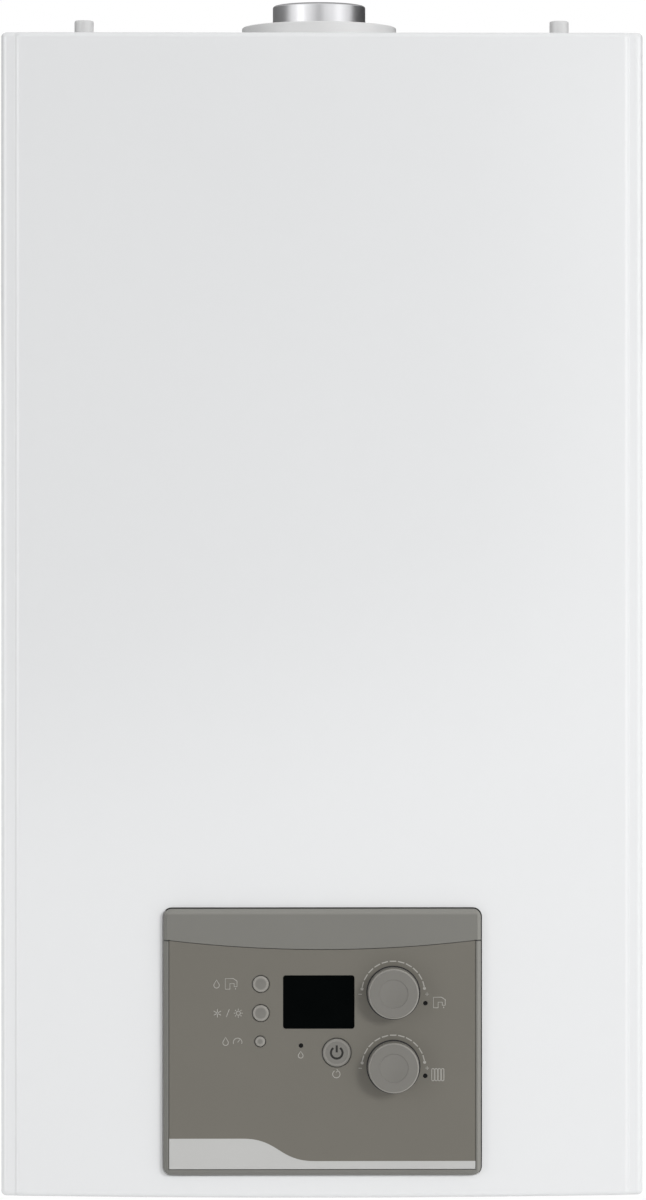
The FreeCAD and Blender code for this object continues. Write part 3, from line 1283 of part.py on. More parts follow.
def turn_knob(seat, axis):
    """Fluted turning knob that stands off a seat, with a stem that runs back into it."""
    base = seat + axis * END_GAP
    grip = rod(base, axis, HANDLE_LENGTH, HANDLE_R)
    grip = grip.makeFillet(HANDLE_EDGE_R, edges_at(grip, axis, base * axis + HANDLE_LENGTH))
    flutes = []
    side = axis.cross(TOP)
    for i in range(FLUTES):
        flute = rod(base + side * HANDLE_R, axis, HANDLE_LENGTH, FLUTE_R)
        flute.rotate(base, axis, 360 * i / FLUTES)
        flutes.append(flute)
    stem = rod(base, axis * -1, HANDLE_LENGTH / 2 + END_GAP, HANDLE_SHAFT_R)
    return fused([grip.cut(flutes), stem])


def safety_valve_knob():
    seat = V(-BLOCK_X - BLOCK_R - LEDGE - HANDLE_LENGTH, PIPE_Y, up(BLOCK_FOOT) + BLOCK_HEIGHT / 2)
    return turn_knob(seat, LEFT)


def filling_tap():
    """Small tap between the cold-water and return pipes, with a bore for its handle's stem."""
    x0, x1 = PIPE_PITCH + SMALL_BORE_R + END_GAP, BLOCK_X - LARGE_BORE_R - END_GAP
    level = up(TAP_HEIGHT)
    link = rod(V(x0, PIPE_Y, level), RIGHT, x1 - x0, TAP_R)
    body = rod(V((x0 + x1) / 2, PIPE_Y, level) + BACK * TAP_BODY_R, FORWARD, 2 * TAP_BODY_R, TAP_BODY_R)
    bore = rod(tap_seat(), BACK, HANDLE_LENGTH / 2 + END_GAP, HANDLE_SHAFT_R + RUNNING_GAP)
    return fused([link, body]).cut(bore)


def tap_seat():
    """Middle of the filling tap's front face."""
    x0, x1 = PIPE_PITCH + SMALL_BORE_R, BLOCK_X - LARGE_BORE_R
    return V((x0 + x1) / 2, PIPE_Y - TAP_BODY_R, up(TAP_HEIGHT))


def filling_tap_handle():
    return turn_knob(tap_seat(), FORWARD)


def expansion_vessel():
    """Flat round vessel on the back panel: rounded edges, a rolled seam and a boss at the bottom."""
    middle = BACK_PLATE - VESSEL_DEPTH / 2
    can = rod(V(0, BACK_PLATE, VESSEL_Z), FORWARD, VESSEL_DEPTH, VESSEL_R)
    rims = edges_at(can, BACK, BACK_PLATE) + edges_at(can, BACK, BACK_PLATE - VESSEL_DEPTH)
    can = can.makeFillet(VESSEL_EDGE_R, rims)
    seam = rod(V(0, middle + VESSEL_SEAM, VESSEL_Z), FORWARD, 2 * VESSEL_SEAM, VESSEL_R + VESSEL_SEAM)
    boss = rod(V(0, middle, VESSEL_Z), DOWN, VESSEL_R + VESSEL_BOSS, VESSEL_BOSS_R)
    return fused([can, seam, boss])


def vessel_pipe():
    """Pipe from the vessel's boss to the back of the pump."""
    y = BACK_PLATE - VESSEL_DEPTH / 2
    centre_z = up(BLOCK_FOOT) + BLOCK_HEIGHT / 2
    level = up(VESSEL_PIPE_H)
    points = [V(0, y, VESSEL_Z - VESSEL_R - VESSEL_BOSS), V(0, y, level), V(BLOCK_X, y, level)]
    points += [V(BLOCK_X, y, centre_z), V(BLOCK_X, PIPE_Y + PUMP_DEPTH / 2, centre_z)]
    return bent_rod(points, VESSEL_PIPE_R, 2 * VESSEL_PIPE_R)


NODES = {
    "front_cover": front_cover,
    "top_panel": top_panel,
    "back_panel": back_panel,
    "wall_bracket": wall_bracket,
    "bottom_rail": bottom_rail,
    "connection_bracket": connection_bracket,
    "cover_locating_pins": locating_pins,
    "casing_screws": casing_screws,
    "control_bezel": control_bezel,
    "control_fascia": control_fascia,
    "accent_strip": accent_strip,
    "display_window": display_window,
    "display_module": display_module,
    "indicator_lenses": indicator_lenses,
    "knob_encoders": knob_encoders,
    "button_switches": button_switches,
    "control_board": control_board,
    "control_box": control_box,
    "sealed_chamber": sealed_chamber,
    "chamber_cover": chamber_cover,
    "sight_glass": sight_glass,
    "flue_gasket": flue_gasket,
    "flue_collar": flue_collar,
    "flue_spigot": flue_spigot,
    "fan_housing": fan_housing,
    "fan_impeller": fan_impeller,
    "fan_motor": fan_motor,
    "flue_hood": flue_hood,
    "heat_exchanger": heat_exchanger,
    "combustion_shroud": combustion_shroud,
    "electrodes": electrodes,
    "burner": burner,
    "burner_manifold": burner_manifold,
    "air_pressure_switch": air_pressure_switch,
    "heating_connections": heating_connections,
    "gas_inlet_pipe": gas_inlet_pipe,
    "gas_valve": gas_valve,
    "gas_feed_pipe": gas_feed_pipe,
    "flow_pipe": flow_pipe,
    "return_pipe": return_pipe,
    "diverter_valve": diverter_valve,
    "circulation_pump": circulation_pump,
    "primary_pipes": primary_pipes,
    "plate_heat_exchanger": plate_heat_exchanger,
    "safety_valve": safety_valve,
    "safety_valve_knob": safety_valve_knob,
    "filling_tap": filling_tap,
    "filling_tap_handle": filling_tap_handle,
    "expansion_vessel": expansion_vessel,
    "vessel_pipe": vessel_pipe,
}


def main():
    os.makedirs("parts", exist_ok=True)
    for name, make in NODES.items():
        save(name, make())
    save("right_side_panel", right_side_panel())
    save("left_side_panel", mirrored(right_side_panel()))
    save("hot_water_pipe", service_pipe(-PIPE_PITCH))
    save("cold_water_pipe", service_pipe(PIPE_PITCH))
    for name, (x, z) in KNOBS.items():
        save(name, knob(x, z))
    for name, (x, z, radius) in BUTTONS.items():
        save(name, button(x, z, radius))


main()
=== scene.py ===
# %% [markdown]
# # A wall-hung gas boiler, dressed in Blender
# The construction comes in as a fixed frame: every panel, pipe and knob is already at its real size, in
# metres, with +Z up, the wall at Y = 0 and the front facing -Y. This lesson gives each piece its finish,
# adds the printed marks and small details that are too fine for the frame, and lights it like a catalogue
# picture.

# %% Load the frame
import math
import bmesh
import bpy
from mathutils import Matrix, Vector


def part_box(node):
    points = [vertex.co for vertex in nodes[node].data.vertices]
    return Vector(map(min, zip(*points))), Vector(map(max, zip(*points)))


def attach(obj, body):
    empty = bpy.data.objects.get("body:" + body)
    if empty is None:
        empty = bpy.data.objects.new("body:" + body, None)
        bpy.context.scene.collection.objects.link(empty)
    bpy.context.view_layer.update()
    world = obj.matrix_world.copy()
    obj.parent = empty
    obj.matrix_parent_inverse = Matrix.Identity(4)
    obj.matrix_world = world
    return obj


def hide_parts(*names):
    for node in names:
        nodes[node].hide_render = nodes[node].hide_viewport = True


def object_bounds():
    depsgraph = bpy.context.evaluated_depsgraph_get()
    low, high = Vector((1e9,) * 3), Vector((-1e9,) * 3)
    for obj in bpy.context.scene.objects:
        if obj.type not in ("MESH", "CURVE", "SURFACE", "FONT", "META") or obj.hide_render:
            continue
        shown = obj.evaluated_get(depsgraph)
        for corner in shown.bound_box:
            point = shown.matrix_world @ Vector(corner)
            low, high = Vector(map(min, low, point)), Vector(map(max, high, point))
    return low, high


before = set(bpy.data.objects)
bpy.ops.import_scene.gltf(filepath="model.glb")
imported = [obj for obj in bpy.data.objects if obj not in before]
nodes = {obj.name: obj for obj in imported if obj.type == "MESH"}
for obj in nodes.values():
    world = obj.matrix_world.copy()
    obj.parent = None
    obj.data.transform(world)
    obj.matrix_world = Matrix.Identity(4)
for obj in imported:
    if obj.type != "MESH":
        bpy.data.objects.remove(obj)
cad_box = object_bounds()
MM = 0.001
print("pieces in the frame:", len(nodes))

# %% [markdown]
# ## Camera
# The picture is almost an elevation: upright lines stay parallel, and the flue on top shows only a little
# of its depth. That means a long lens from far away, level with the middle of the case and a touch to its
# left. The case's own front gives the scale: it fills all but a few pixels of the picture's width.

# %% Camera at the picture's view
PHOTO_WIDTH, PHOTO_HEIGHT = 646, 1200
CASE_LEFT_PX, CASE_RIGHT_PX = 1.2, 643.3
CASE_TOP_PX = 32.0
CAMERA_DISTANCE = 3.6
CAMERA_LEFT = 0.05
SENSOR = 36.0

cover_low, cover_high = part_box("front_cover")
front_y = cover_low.y
metres_per_px = (cover_high.x - cover_low.x) / (CASE_RIGHT_PX - CASE_LEFT_PX)
centre_x = (PHOTO_WIDTH / 2 - (CASE_LEFT_PX + CASE_RIGHT_PX) / 2) * metres_per_px
centre_z = cover_high.z - (PHOTO_HEIGHT / 2 - CASE_TOP_PX) * metres_per_px

camera_data = bpy.data.cameras.new("photo_camera")
camera_data.sensor_fit = "VERTICAL"
camera_data.sensor_height = SENSOR
camera_data.lens = SENSOR * CAMERA_DISTANCE / (PHOTO_HEIGHT * metres_per_px)
camera = bpy.data.objects.new("photo_camera", camera_data)
bpy.context.scene.collection.objects.link(camera)
camera.location = (centre_x - CAMERA_LEFT, front_y - CAMERA_DISTANCE, centre_z)
aim = Vector((centre_x, front_y, centre_z)) - camera.location
camera.rotation_euler = aim.to_track_quat("-Z", "Y").to_euler()
bpy.context.scene.camera = camera
print("lens", round(camera_data.lens, 1), "mm, pixel", round(metres_per_px / MM, 4), "mm")

# %% [markdown]
# ## Places on the control panel
# Marks, knobs and buttons are all placed from the middle of the control panel, in millimetres to the
# right and up. The frame's boxes give that middle, the face that the marks are printed on, and the middle
# of any knob or button.

# %% The panel's middle
panel_low, panel_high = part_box("control_bezel")
panel_x, panel_z = (panel_low.x + panel_high.x) / 2, (panel_low.z + panel_high.z) / 2
panel_half_x, panel_half_z = panel_high.x - panel_x, panel_high.z - panel_z
face_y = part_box("control_fascia")[0].y


def middle_of(node):
    """X and Z of a node's middle, in millimetres from the panel's middle."""
    low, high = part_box(node)
    return ((low.x + high.x) / 2 - panel_x) / MM, ((low.z + high.z) / 2 - panel_z) / MM


print("panel", round(2 * panel_half_x / MM, 1), "x", round(2 * panel_half_z / MM, 1), "mm")

# %% [markdown]
# ## Writing node maths
# A finish is a small sum: so much colour, plus a little noise, less some wear. Blender writes sums as
# nodes, which are hard to read in a script. One class wraps a socket and turns +, -, * and / into Math
# nodes, and takes +, - and * also where the plain number comes first. Geometry Nodes trees use the same
# Math nodes, so the class serves both.


# %% Sockets that can be added and multiplied
class Sum:
    """A number socket of a node tree that takes part in Python arithmetic."""

    def __init__(self, tree, socket):
        self.tree = tree
        self.socket = socket

    def maths(self, operation, first, second=0.0):
        """A Math node of any kind."""
        node = self.tree.nodes.new("ShaderNodeMath")
        node.operation = operation
        for place, term in zip(node.inputs, (first, second)):
            join(self.tree, place, term)
        return Sum(self.tree, node.outputs[0])

    def clamp(self):
        """The same number, kept between 0 and 1."""
        return self.maths("MINIMUM", self.maths("MAXIMUM", self, 0.0), 1.0)

    def size(self):
        """The same number without its sign."""
        return self.maths("ABSOLUTE", self)

    def __add__(self, other):
        return self.maths("ADD", self, other)

    def __radd__(self, other):
        return self.maths("ADD", other, self)

    def __sub__(self, other):
        return self.maths("SUBTRACT", self, other)

    def __rsub__(self, other):
        return self.maths("SUBTRACT", other, self)

    def __mul__(self, other):
        return self.maths("MULTIPLY", self, other)

    def __rmul__(self, other):
        return self.maths("MULTIPLY", other, self)

    def __truediv__(self, other):
        return self.maths("DIVIDE", self, other)


def join(tree, place, term):
    """Set an input socket to a value, or link it to another socket."""
    if isinstance(term, Sum):
        tree.links.new(term.socket, place)
    else:
        place.default_value = term


print("sockets take + - * /")

# %% [markdown]
# Every other node comes from one method: it takes the node's type, its settings, which are set first, and
# the values or links of its sockets.


# %% Any other node
class Wiring:
    """A node tree in the making."""

    def __init__(self, tree):
        self.tree = tree

    def node(self, kind, settings, inputs, output=0):
        """Any node: its settings first, then its sockets' values or links."""
        node = self.tree.nodes.new(kind)
        for key, value in settings.items():
            setattr(node, key, value)
        for key, value in inputs.items():
            join(self.tree, node.inputs[key], value)
        return Sum(self.tree, node.outputs[output])


print("a node is made from its type, its settings and its sockets")

# %% [markdown]
# Colours are easiest to judge as a screen shows them, while Blender counts light. Two helpers turn one into
# the other and make a colour lighter or darker.


# %% Colours
def shade(colour, factor):
    """The same colour, lighter or darker."""
    return tuple(min(1.0, c * factor) for c in colour[:3]) + (1.0,)


def srgb(red, green, blue):
    """Colour as it is seen on a screen, from 0 to 255, in Blender's linear numbers."""
    linear = []
    for level in (red, green, blue):
        v = level / 255
        linear.append(v / 12.92 if v <= 0.04045 else ((v + 0.055) / 1.055) ** 2.4)
    return tuple(linear) + (1.0,)


print("middle grey on a screen is", round(srgb(128, 128, 128)[0], 3), "in linear numbers")

# %% [markdown]
# A finish is a material with one Principled shader. It adds the few nodes that are needed again and again,
# such as noise of a given size in metres, and puts its material on one shelf, from which the pieces take it
# by name.

# %% A finish
finishes = {}


class Finish(Wiring):
    """A material: one Principled shader and the nodes that feed it."""

    def __init__(self, name):
        finishes[name] = bpy.data.materials.new(name)
        finishes[name].use_nodes = True
        super().__init__(finishes[name].node_tree)
        self.shader = self.tree.nodes["Principled BSDF"]

    def place(self):
        """Object coordinates, in metres."""
        return self.node("ShaderNodeTexCoord", {}, {}, "Object")

    def along(self, axis):
        """One of the object coordinates: X, Y or Z."""
        return self.node("ShaderNodeSeparateXYZ", {}, {"Vector": self.place()}, axis)

    def noise(self, size, detail=2.0, stretch=(1, 1, 1)):
        """Soft noise from 0 to 1 whose blobs are about that size, in metres."""
        scale = tuple(s / size for s in stretch)
        where = self.node("ShaderNodeMapping", {}, {"Vector": self.place(), "Scale": scale})
        return self.node("ShaderNodeTexNoise", {}, {"Vector": where, "Scale": 1.0, "Detail": detail})

    def blend(self, factor, first, second):
        """Colour between two colours."""
        return self.node("ShaderNodeMix", {"data_type": "RGBA"}, {0: factor, 6: first, 7: second}, 2)

    def varied(self, factor, colour, darkest, lightest):
        """One colour that runs between two shades of itself."""
        return self.blend(factor, shade(colour, darkest), shade(colour, lightest))

    def bump(self, height, depth):
        """Surface relief of that depth, in metres."""
        return self.node("ShaderNodeBump", {}, {"Height": height, "Distance": depth, "Strength": 1.0})

    def set(self, **sockets):
        """Feed the shader: Base_Color, Roughness, Normal and so on."""
        for key, value in sockets.items():
            join(self.tree, self.shader.inputs[key.replace("_", " ")], value)


print("finishes on the shelf:", len(finishes))

# %% [markdown]
# ## Painted steel
# The case is pressed sheet, powder-coated white. Powder coat levels out to a soft gloss with a faint
# orange-peel ripple about a millimetre across, and its tone drifts very slightly over a large panel. A
# clear coat over a duller base gives that mix of a soft sheen and one clean reflection. The red water
# tank inside is coated in the same way.


# %% Powder coat
def powder_coat(name, colour):
    """Sprayed and baked paint on sheet steel."""
    paint = Finish(name)
    drift = paint.noise(0.25, 1.0)
    peel = paint.noise(0.0016, 2.0)
    paint.set(
        Base_Color=paint.varied(drift, colour, 0.99, 1.01),
        Roughness=0.36 + peel * 0.06,
        Normal=paint.bump(peel, 0.000006),
        Specular_IOR_Level=0.3,
        Coat_Weight=0.9,
        Coat_Roughness=0.09,
        Coat_IOR=1.66,
    )


powder_coat("white_enamel", srgb(230, 231, 232))
powder_coat("red_coat", srgb(170, 40, 30))
print("finishes:", list(finishes))

# %% [markdown]
# ## Moulded plastic
# The control panel is warm grey moulded plastic. The mould is lightly etched, so the surface has a grain
# finer than half a millimetre that breaks up the gloss. The same finish in other colours does for the
# black housings, the coloured handles, the circuit board's lacquer and the printed ink.


# %% Grained plastic
def moulded(name, colour, roughness):
    """Plastic from an etched mould."""
    plastic = Finish(name)
    grain = plastic.noise(0.0004, 1.0)
    cloud = plastic.noise(0.04, 2.0)
    plastic.set(
        Base_Color=plastic.varied(cloud, colour, 0.97, 1.03),
        Roughness=roughness - 0.04 + grain * 0.08,
        Normal=plastic.bump(grain, 0.000008),
    )


CONTROL_GREY = srgb(117, 115, 110)
moulded("fascia_grey", srgb(108, 105, 97), 0.45)
moulded("control_grey", CONTROL_GREY, 0.36)
moulded("strip_grey", srgb(189, 189, 187), 0.35)
moulded("pale_plastic", srgb(226, 226, 226), 0.26)
# The locating pins take a darker copy of the collar's pale plastic: painted shade on the pins.
moulded("pin_plastic", srgb(216, 216, 216), 0.3)
moulded("black_plastic", srgb(38, 38, 38), 0.5)
moulded("red_plastic", srgb(176, 36, 30), 0.4)
moulded("blue_plastic", srgb(40, 84, 160), 0.4)
moulded("board_green", srgb(44, 110, 66), 0.3)
moulded("white_ceramic", srgb(238, 234, 226), 0.25)
moulded("pale_ink", srgb(172, 170, 164), 0.5)
moulded("dark_ink", srgb(20, 19, 15), 0.6)
print("finishes so far:", len(finishes))

# %% [markdown]
# The frame of the panel is the same plastic with two marks. Its top and right edges are a little smoother
# and carry a lighter band, a painted highlight where the light falls on them, and the joint under the
# header runs on over both side bars as a dark line. Both are told by where a point lies on the panel, so
# they are masks made from the object's own coordinates.

# %% Panel frame
TOP_HIGHLIGHT_BAND, TOP_HIGHLIGHT_FADE = 3.8 * MM, 1.4 * MM
RIGHT_HIGHLIGHT_BAND, RIGHT_HIGHLIGHT_FADE = 2.4 * MM, 0.5 * MM
JOINT_Z, JOINT_HALF, BAR_X = 63.2 * MM, 0.42 * MM, 94.6 * MM


def panel_frame(name, colour, roughness):
    """Moulded plastic with a painted highlight on the top and right edges, and the joint's line."""
    plastic = Finish(name)
    x, z = plastic.along("X") - panel_x, plastic.along("Z") - panel_z
    # Painted highlight: the top and right edges of the frame are made lighter where the light falls on them.
    top_highlight = ((z - (panel_half_z - TOP_HIGHLIGHT_BAND)) / TOP_HIGHLIGHT_FADE).clamp()
    right_highlight = ((x - (panel_half_x - RIGHT_HIGHLIGHT_BAND)) / RIGHT_HIGHLIGHT_FADE).clamp()
    edge = x.maths("MAXIMUM", top_highlight, right_highlight)
    on_bar = x.maths("GREATER_THAN", x.size(), BAR_X)
    in_joint = z.maths("LESS_THAN", (z - JOINT_Z).size(), JOINT_HALF)
    grain = plastic.noise(0.0004, 1.0)
    cloud = plastic.noise(0.04, 2.0)
    tone = plastic.varied(cloud, colour, 0.97, 1.03)
    # The painted highlight lightens the tone along those edges.
    tone = plastic.blend(edge, tone, shade(colour, 1.34))
    plastic.set(
        Base_Color=plastic.blend(on_bar * in_joint, tone, shade(colour, 0.15)),
        Roughness=roughness - 0.04 + grain * 0.08 - edge * 0.1,
        Normal=plastic.bump(grain, 0.000008),
    )


panel_frame("frame_grey", srgb(118, 117, 112), 0.42)
print("joint line", round(JOINT_Z / MM, 1), "mm above the panel's middle")

# %% [markdown]
# ## Dark windows
# The display is switched off: a dark pane whose anti-glare layer hardly mirrors the room. The lamps'
# lenses and the sight glass are the same kind of pane with more gloss. The amount of mirror is a
# constant, so it is set on the shader itself.


# %% Dark glass
def dark_glass(name, level, gloss):
    """Dark pane with a little haze; its level is on the screen's scale."""
    pane = Finish(name)
    haze = pane.noise(0.012, 2.0)
    darkest, lightest = [srgb(v, v + 2, v + 2) for v in (level, level + 3)]
    pane.set(
        Base_Color=pane.blend(haze, darkest, lightest),
        Roughness=0.2 + haze * 0.06,
        Specular_IOR_Level=gloss,
    )


dark_glass("display_black", 2, 0.01)
dark_glass("lens_black", 5, 0.15)
print("finishes so far:", len(finishes))

# %% [markdown]
# ## Bare and plated metals
# Drawn tube and turned brass show fine lines, so their tone and roughness follow a noise, which is
# stretched along the piece where it was drawn. The flue tube is polished; its rolled top edge is rougher
# and carries a painted dark band, a painted reflection of the dim space above it.

# %% Drawn metal and the polished tube
ALONG_Z, ALONG_Y = (1, 1, 0.05), (1, 0.1, 1)
PAINTED_RIM_BAND, PAINTED_RIM_FADE = 1.3 * MM, 0.7 * MM


def drawn_metal(name, colour, roughness, stretch=(1, 1, 1)):
    """Metal with fine lines along one way, or fine grain."""
    metal = Finish(name)
    lines = metal.noise(0.0012, 3.0, stretch)
    metal.set(
        Base_Color=metal.varied(lines, colour, 0.93, 1.05),
        Metallic=1.0,
        Roughness=roughness - 0.05 + lines * 0.1,
        Normal=metal.bump(lines, 0.00001),
    )


def tube_with_painted_dark_rim(name, colour, roughness, top):
    """Polished tube: hardly any lines, and a rougher band at the rolled top edge, darkened as a painted
    reflection.
    """
    metal = Finish(name)
    lines = metal.noise(0.0012, 2.0, ALONG_Z)
    # Painted reflection: the rolled top edge is darkened to stand for the dark reflection that it would
    # catch from above.
    edge = ((metal.along("Z") - (top - PAINTED_RIM_BAND)) / PAINTED_RIM_FADE).clamp()
    tone = metal.varied(lines, colour, 0.97, 1.02)
    metal.set(
        Base_Color=metal.blend(edge, tone, shade(colour, 0.3)),
        Metallic=1.0,
        Roughness=roughness + lines * 0.03 + edge * 0.1,
    )


drawn_metal("zinc_screw", srgb(200, 200, 196), 0.3)
drawn_metal("copper", srgb(205, 132, 98), 0.26, ALONG_Z)
drawn_metal("brass", srgb(200, 170, 104), 0.3)
drawn_metal("plain_steel", srgb(188, 188, 188), 0.32, ALONG_Y)
tube_with_painted_dark_rim("bright_metal", srgb(226, 226, 228), 0.32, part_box("flue_spigot")[1].z)
print("finishes so far:", len(finishes))

# %% [markdown]
# Galvanised sheet shows patches of zinc crystal. A Voronoi texture gives each patch its own tone.
# Castings, rubber and pressed fibre are pitted, so there a fine noise drives the tone and a small bump.


# %% Zinc sheet and castings
def zinc_sheet(name, colour):
    """Galvanised sheet: a patchwork of crystals."""
    metal = Finish(name)
    crystal = metal.node("ShaderNodeTexVoronoi", {}, {"Vector": metal.place(), "Scale": 130.0}, "Color")
    patch = metal.node("ShaderNodeSeparateColor", {}, {"Color": crystal})
    metal.set(
        Base_Color=metal.varied(patch, colour, 0.93, 1.04),
        Metallic=0.9,
        Roughness=0.36 + patch * 0.12,
    )


def casting(name, colour, roughness, metallic):
    """Pitted surface: cast metal, rubber or pressed fibre."""
    metal = Finish(name)
    pits = metal.noise(0.0012, 4.0)
    metal.set(
        Base_Color=metal.varied(pits, colour, 0.8, 1.15),
        Metallic=metallic,
        Roughness=roughness + pits * 0.12,
        Normal=metal.bump(pits, 0.00006),
    )


zinc_sheet("zinc_sheet", srgb(196, 198, 200))
casting("cast_black", srgb(52, 53, 55), 0.5, 0.0)
casting("cast_alloy", srgb(190, 190, 188), 0.38, 0.9)
casting("fibre_board", srgb(224, 220, 210), 0.8, 0.0)
casting("soft_seal", srgb(58, 58, 58), 0.8, 0.0)
print("finishes so far:", len(finishes))

# %% [markdown]
# ## Giving every piece its finish
# Each node of the frame keeps its shape and takes a material by name. The finishes follow what the real
# piece is made of: enamel outside, zinc sheet inside, copper and brass for water and gas.

# %% Finishes by piece
finish_of = {
    "white_enamel": ["front_cover", "left_side_panel", "right_side_panel", "top_panel"],
    "pale_plastic": ["flue_collar"],
    "pin_plastic": ["cover_locating_pins"],
    "frame_grey": ["control_bezel"],
    "fascia_grey": ["control_fascia"],
    "control_grey": [
        "dhw_knob", "heating_knob", "eco_button", "season_button", "pressure_button", "power_button",
    ],
    "strip_grey": ["accent_strip"],
    "display_black": ["display_window"],
    "lens_black": ["indicator_lenses", "sight_glass"],
    "black_plastic": [
        "control_box", "display_module", "knob_encoders", "button_switches", "air_pressure_switch",
    ],
    "bright_metal": ["flue_spigot"],
    "zinc_sheet": [
        "back_panel", "wall_bracket", "bottom_rail", "connection_bracket", "sealed_chamber", "chamber_cover",
        "fan_housing", "flue_hood",
    ],
    "zinc_screw": ["casing_screws"],
    "copper": [
        "heat_exchanger", "flow_pipe", "return_pipe", "primary_pipes", "vessel_pipe", "gas_feed_pipe",
    ],
    "brass": [
        "burner_manifold", "diverter_valve", "safety_valve", "filling_tap", "heating_connections",
        "gas_inlet_pipe", "hot_water_pipe", "cold_water_pipe",
    ],
    "plain_steel": ["burner", "plate_heat_exchanger", "fan_impeller"],
    "cast_black": ["circulation_pump", "fan_motor"],
    "cast_alloy": ["gas_valve"],
    "red_coat": ["expansion_vessel"],
    "red_plastic": ["safety_valve_knob"],
    "blue_plastic": ["filling_tap_handle"],
    "board_green": ["control_board"],
    "fibre_board": ["combustion_shroud"],
    "white_ceramic": ["electrodes"],
    "soft_seal": ["flue_gasket"],
}
for finish, names in finish_of.items():
    for name in names:
        mesh = nodes[name].data
        mesh.materials.clear()
        mesh.materials.append(finishes[finish])
print("nodes with a finish:", sum(len(names) for names in finish_of.values()), "of", len(nodes))

# %% [markdown]
# ## Turned pieces
# Knobs, buttons, the flue tube and its collar are all round, so each is a half outline that spins round
# its axis. The frame's own versions have plain edges. At this size the edge makes the look: a crisp bevel
# catches the light and draws a bright ring, which a soft fillet does not. The outlines here keep the
# frame's sizes and change the edges.

# %% Spin an outline
ROUND_STEPS, SMALL_STEPS = 128, 64


def arc(x, z, r, start, stop, steps=16):
    """Points along an arc, in degrees."""
    turns = [math.radians(start + (stop - start) * i / steps) for i in range(steps + 1)]
    return [(x + r * math.cos(a), z + r * math.sin(a)) for a in turns]


def lathe(outline, steps, ring=False):
    """Turn (radius, height) points, in millimetres, round the Z axis; a ring's outline closes on itself."""
    shape = bmesh.new()
    verts = [shape.verts.new((r * MM, 0, z * MM)) for r, z in outline]
    ahead = verts[1:] + verts[:1] if ring else verts[1:]
    edges = [shape.edges.new(pair) for pair in zip(verts, ahead)]
    bmesh.ops.spin(shape, geom=verts + edges, cent=(0, 0, 0), axis=(0, 0, 1), angle=math.tau, steps=steps)
    bmesh.ops.remove_doubles(shape, verts=shape.verts, dist=0.0001 * MM)
    bmesh.ops.recalc_face_normals(shape, faces=shape.faces)
    return shape


print("a turned piece has", ROUND_STEPS, "or", SMALL_STEPS, "steps")

# %% [markdown]
# The spun shape becomes a mesh whose gentle edges are shaded smooth and whose sharp ones stay sharp. The
# piece is put in its place in the mesh itself, rides on a body and names the slot of its material.

# %% A turned piece
SMOOTH_UP_TO = 30


def smooth_mesh(name, shape, sharp=SMOOTH_UP_TO):
    """A mesh that is smooth up to the given angle, in degrees."""
    mesh = bpy.data.meshes.new(name)
    shape.to_mesh(mesh)
    shape.free()
    mesh.shade_smooth()
    mesh.set_sharp_from_angle(angle=math.radians(sharp))
    return mesh


def add_object(name, data):
    """A new object in the scene."""
    thing = bpy.data.objects.new(name, data)
    bpy.context.scene.collection.objects.link(thing)
    return thing


def turned(name, body, shape, place, finish, sharp=SMOOTH_UP_TO):
    """A turned piece in its place, riding on a body."""
    mesh = smooth_mesh(name, shape, sharp)
    mesh.transform(place)
    mesh.materials.append(finishes[finish])
    print(name, len(mesh.polygons), "faces")
    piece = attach(add_object(name, mesh), body)
    return piece


print("turned pieces are smooth up to", SMOOTH_UP_TO, "degrees")

# %% [markdown]
# ## Flue tube and collar
# The flue gas leaves through a bright tube whose top edge is rolled inwards. The tube is a thin wall, so
# its outline is a closed ring: up the outside, round the edge and down the inside.

# %% Flue tube
ROLL_R, ROLL_TURN = 1.5, 100
TUBE_WALL, EDGE_STEPS = 1.0, 6


def upright_axis(node):
    """Matrix that puts a turned piece on a node's upright axis."""
    low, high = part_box(node)
    return Matrix.Translation(((low.x + high.x) / 2, (low.y + high.y) / 2, 0))


low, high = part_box("flue_spigot")
tube_r, tube_foot, tube_top = (high.x - low.x) / 2 / MM, low.z / MM, high.z / MM
roll_r, roll_z = tube_r - ROLL_R, tube_top - ROLL_R
tube = [(tube_r - TUBE_WALL, tube_foot), (tube_r, tube_foot)]
tube += arc(roll_r, roll_z, ROLL_R, 0, ROLL_TURN, EDGE_STEPS)
tube += arc(roll_r, roll_z, ROLL_R - TUBE_WALL, ROLL_TURN, 0, EDGE_STEPS)
tube_shape = lathe(tube, ROUND_STEPS, ring=True)
flue = turned("flue_tube", "boiler", tube_shape, upright_axis("flue_spigot"), "bright_metal")
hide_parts("flue_spigot")

# %% [markdown]
# The air comes in between the tube and a pale plastic collar with a small rounded edge. Below the top of
# the case the collar is narrower, so it rests on the sheet by a step.

# %% Air collar
COLLAR_WALL, COLLAR_STEP = 3.0, 1.5
COLLAR_EDGE, BORE_EDGE = 0.9, 0.45
low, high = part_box("flue_collar")
collar_r, collar_foot, collar_top = (high.x - low.x) / 2 / MM, low.z / MM, high.z / MM
case_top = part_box("top_panel")[1].z / MM
bore, neck = collar_r - COLLAR_WALL, collar_r - COLLAR_STEP
collar = [(bore, collar_foot), (neck, collar_foot), (neck, case_top), (collar_r, case_top)]
collar += arc(collar_r - COLLAR_EDGE, collar_top - COLLAR_EDGE, COLLAR_EDGE, 0, 90, EDGE_STEPS)
collar += arc(bore + BORE_EDGE, collar_top - BORE_EDGE, BORE_EDGE, 90, 180, EDGE_STEPS)
collar_shape = lathe(collar, ROUND_STEPS, ring=True)
collar_place = upright_axis("flue_collar")
air = turned("air_collar", "boiler", collar_shape, collar_place, "pale_plastic")
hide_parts("flue_collar")

# %% [markdown]
# ## Knobs and buttons
# Knobs and buttons are of satin plastic with a smoother rim, and a painted highlight makes that rim a pale
# ring. The rim is a mask too: the distance from the knob's own axis, worked out from the object's
# coordinates. It turns with the knob.

# %% Plastic with a painted highlight on its rim
RIM_SOFT = 0.25 * MM


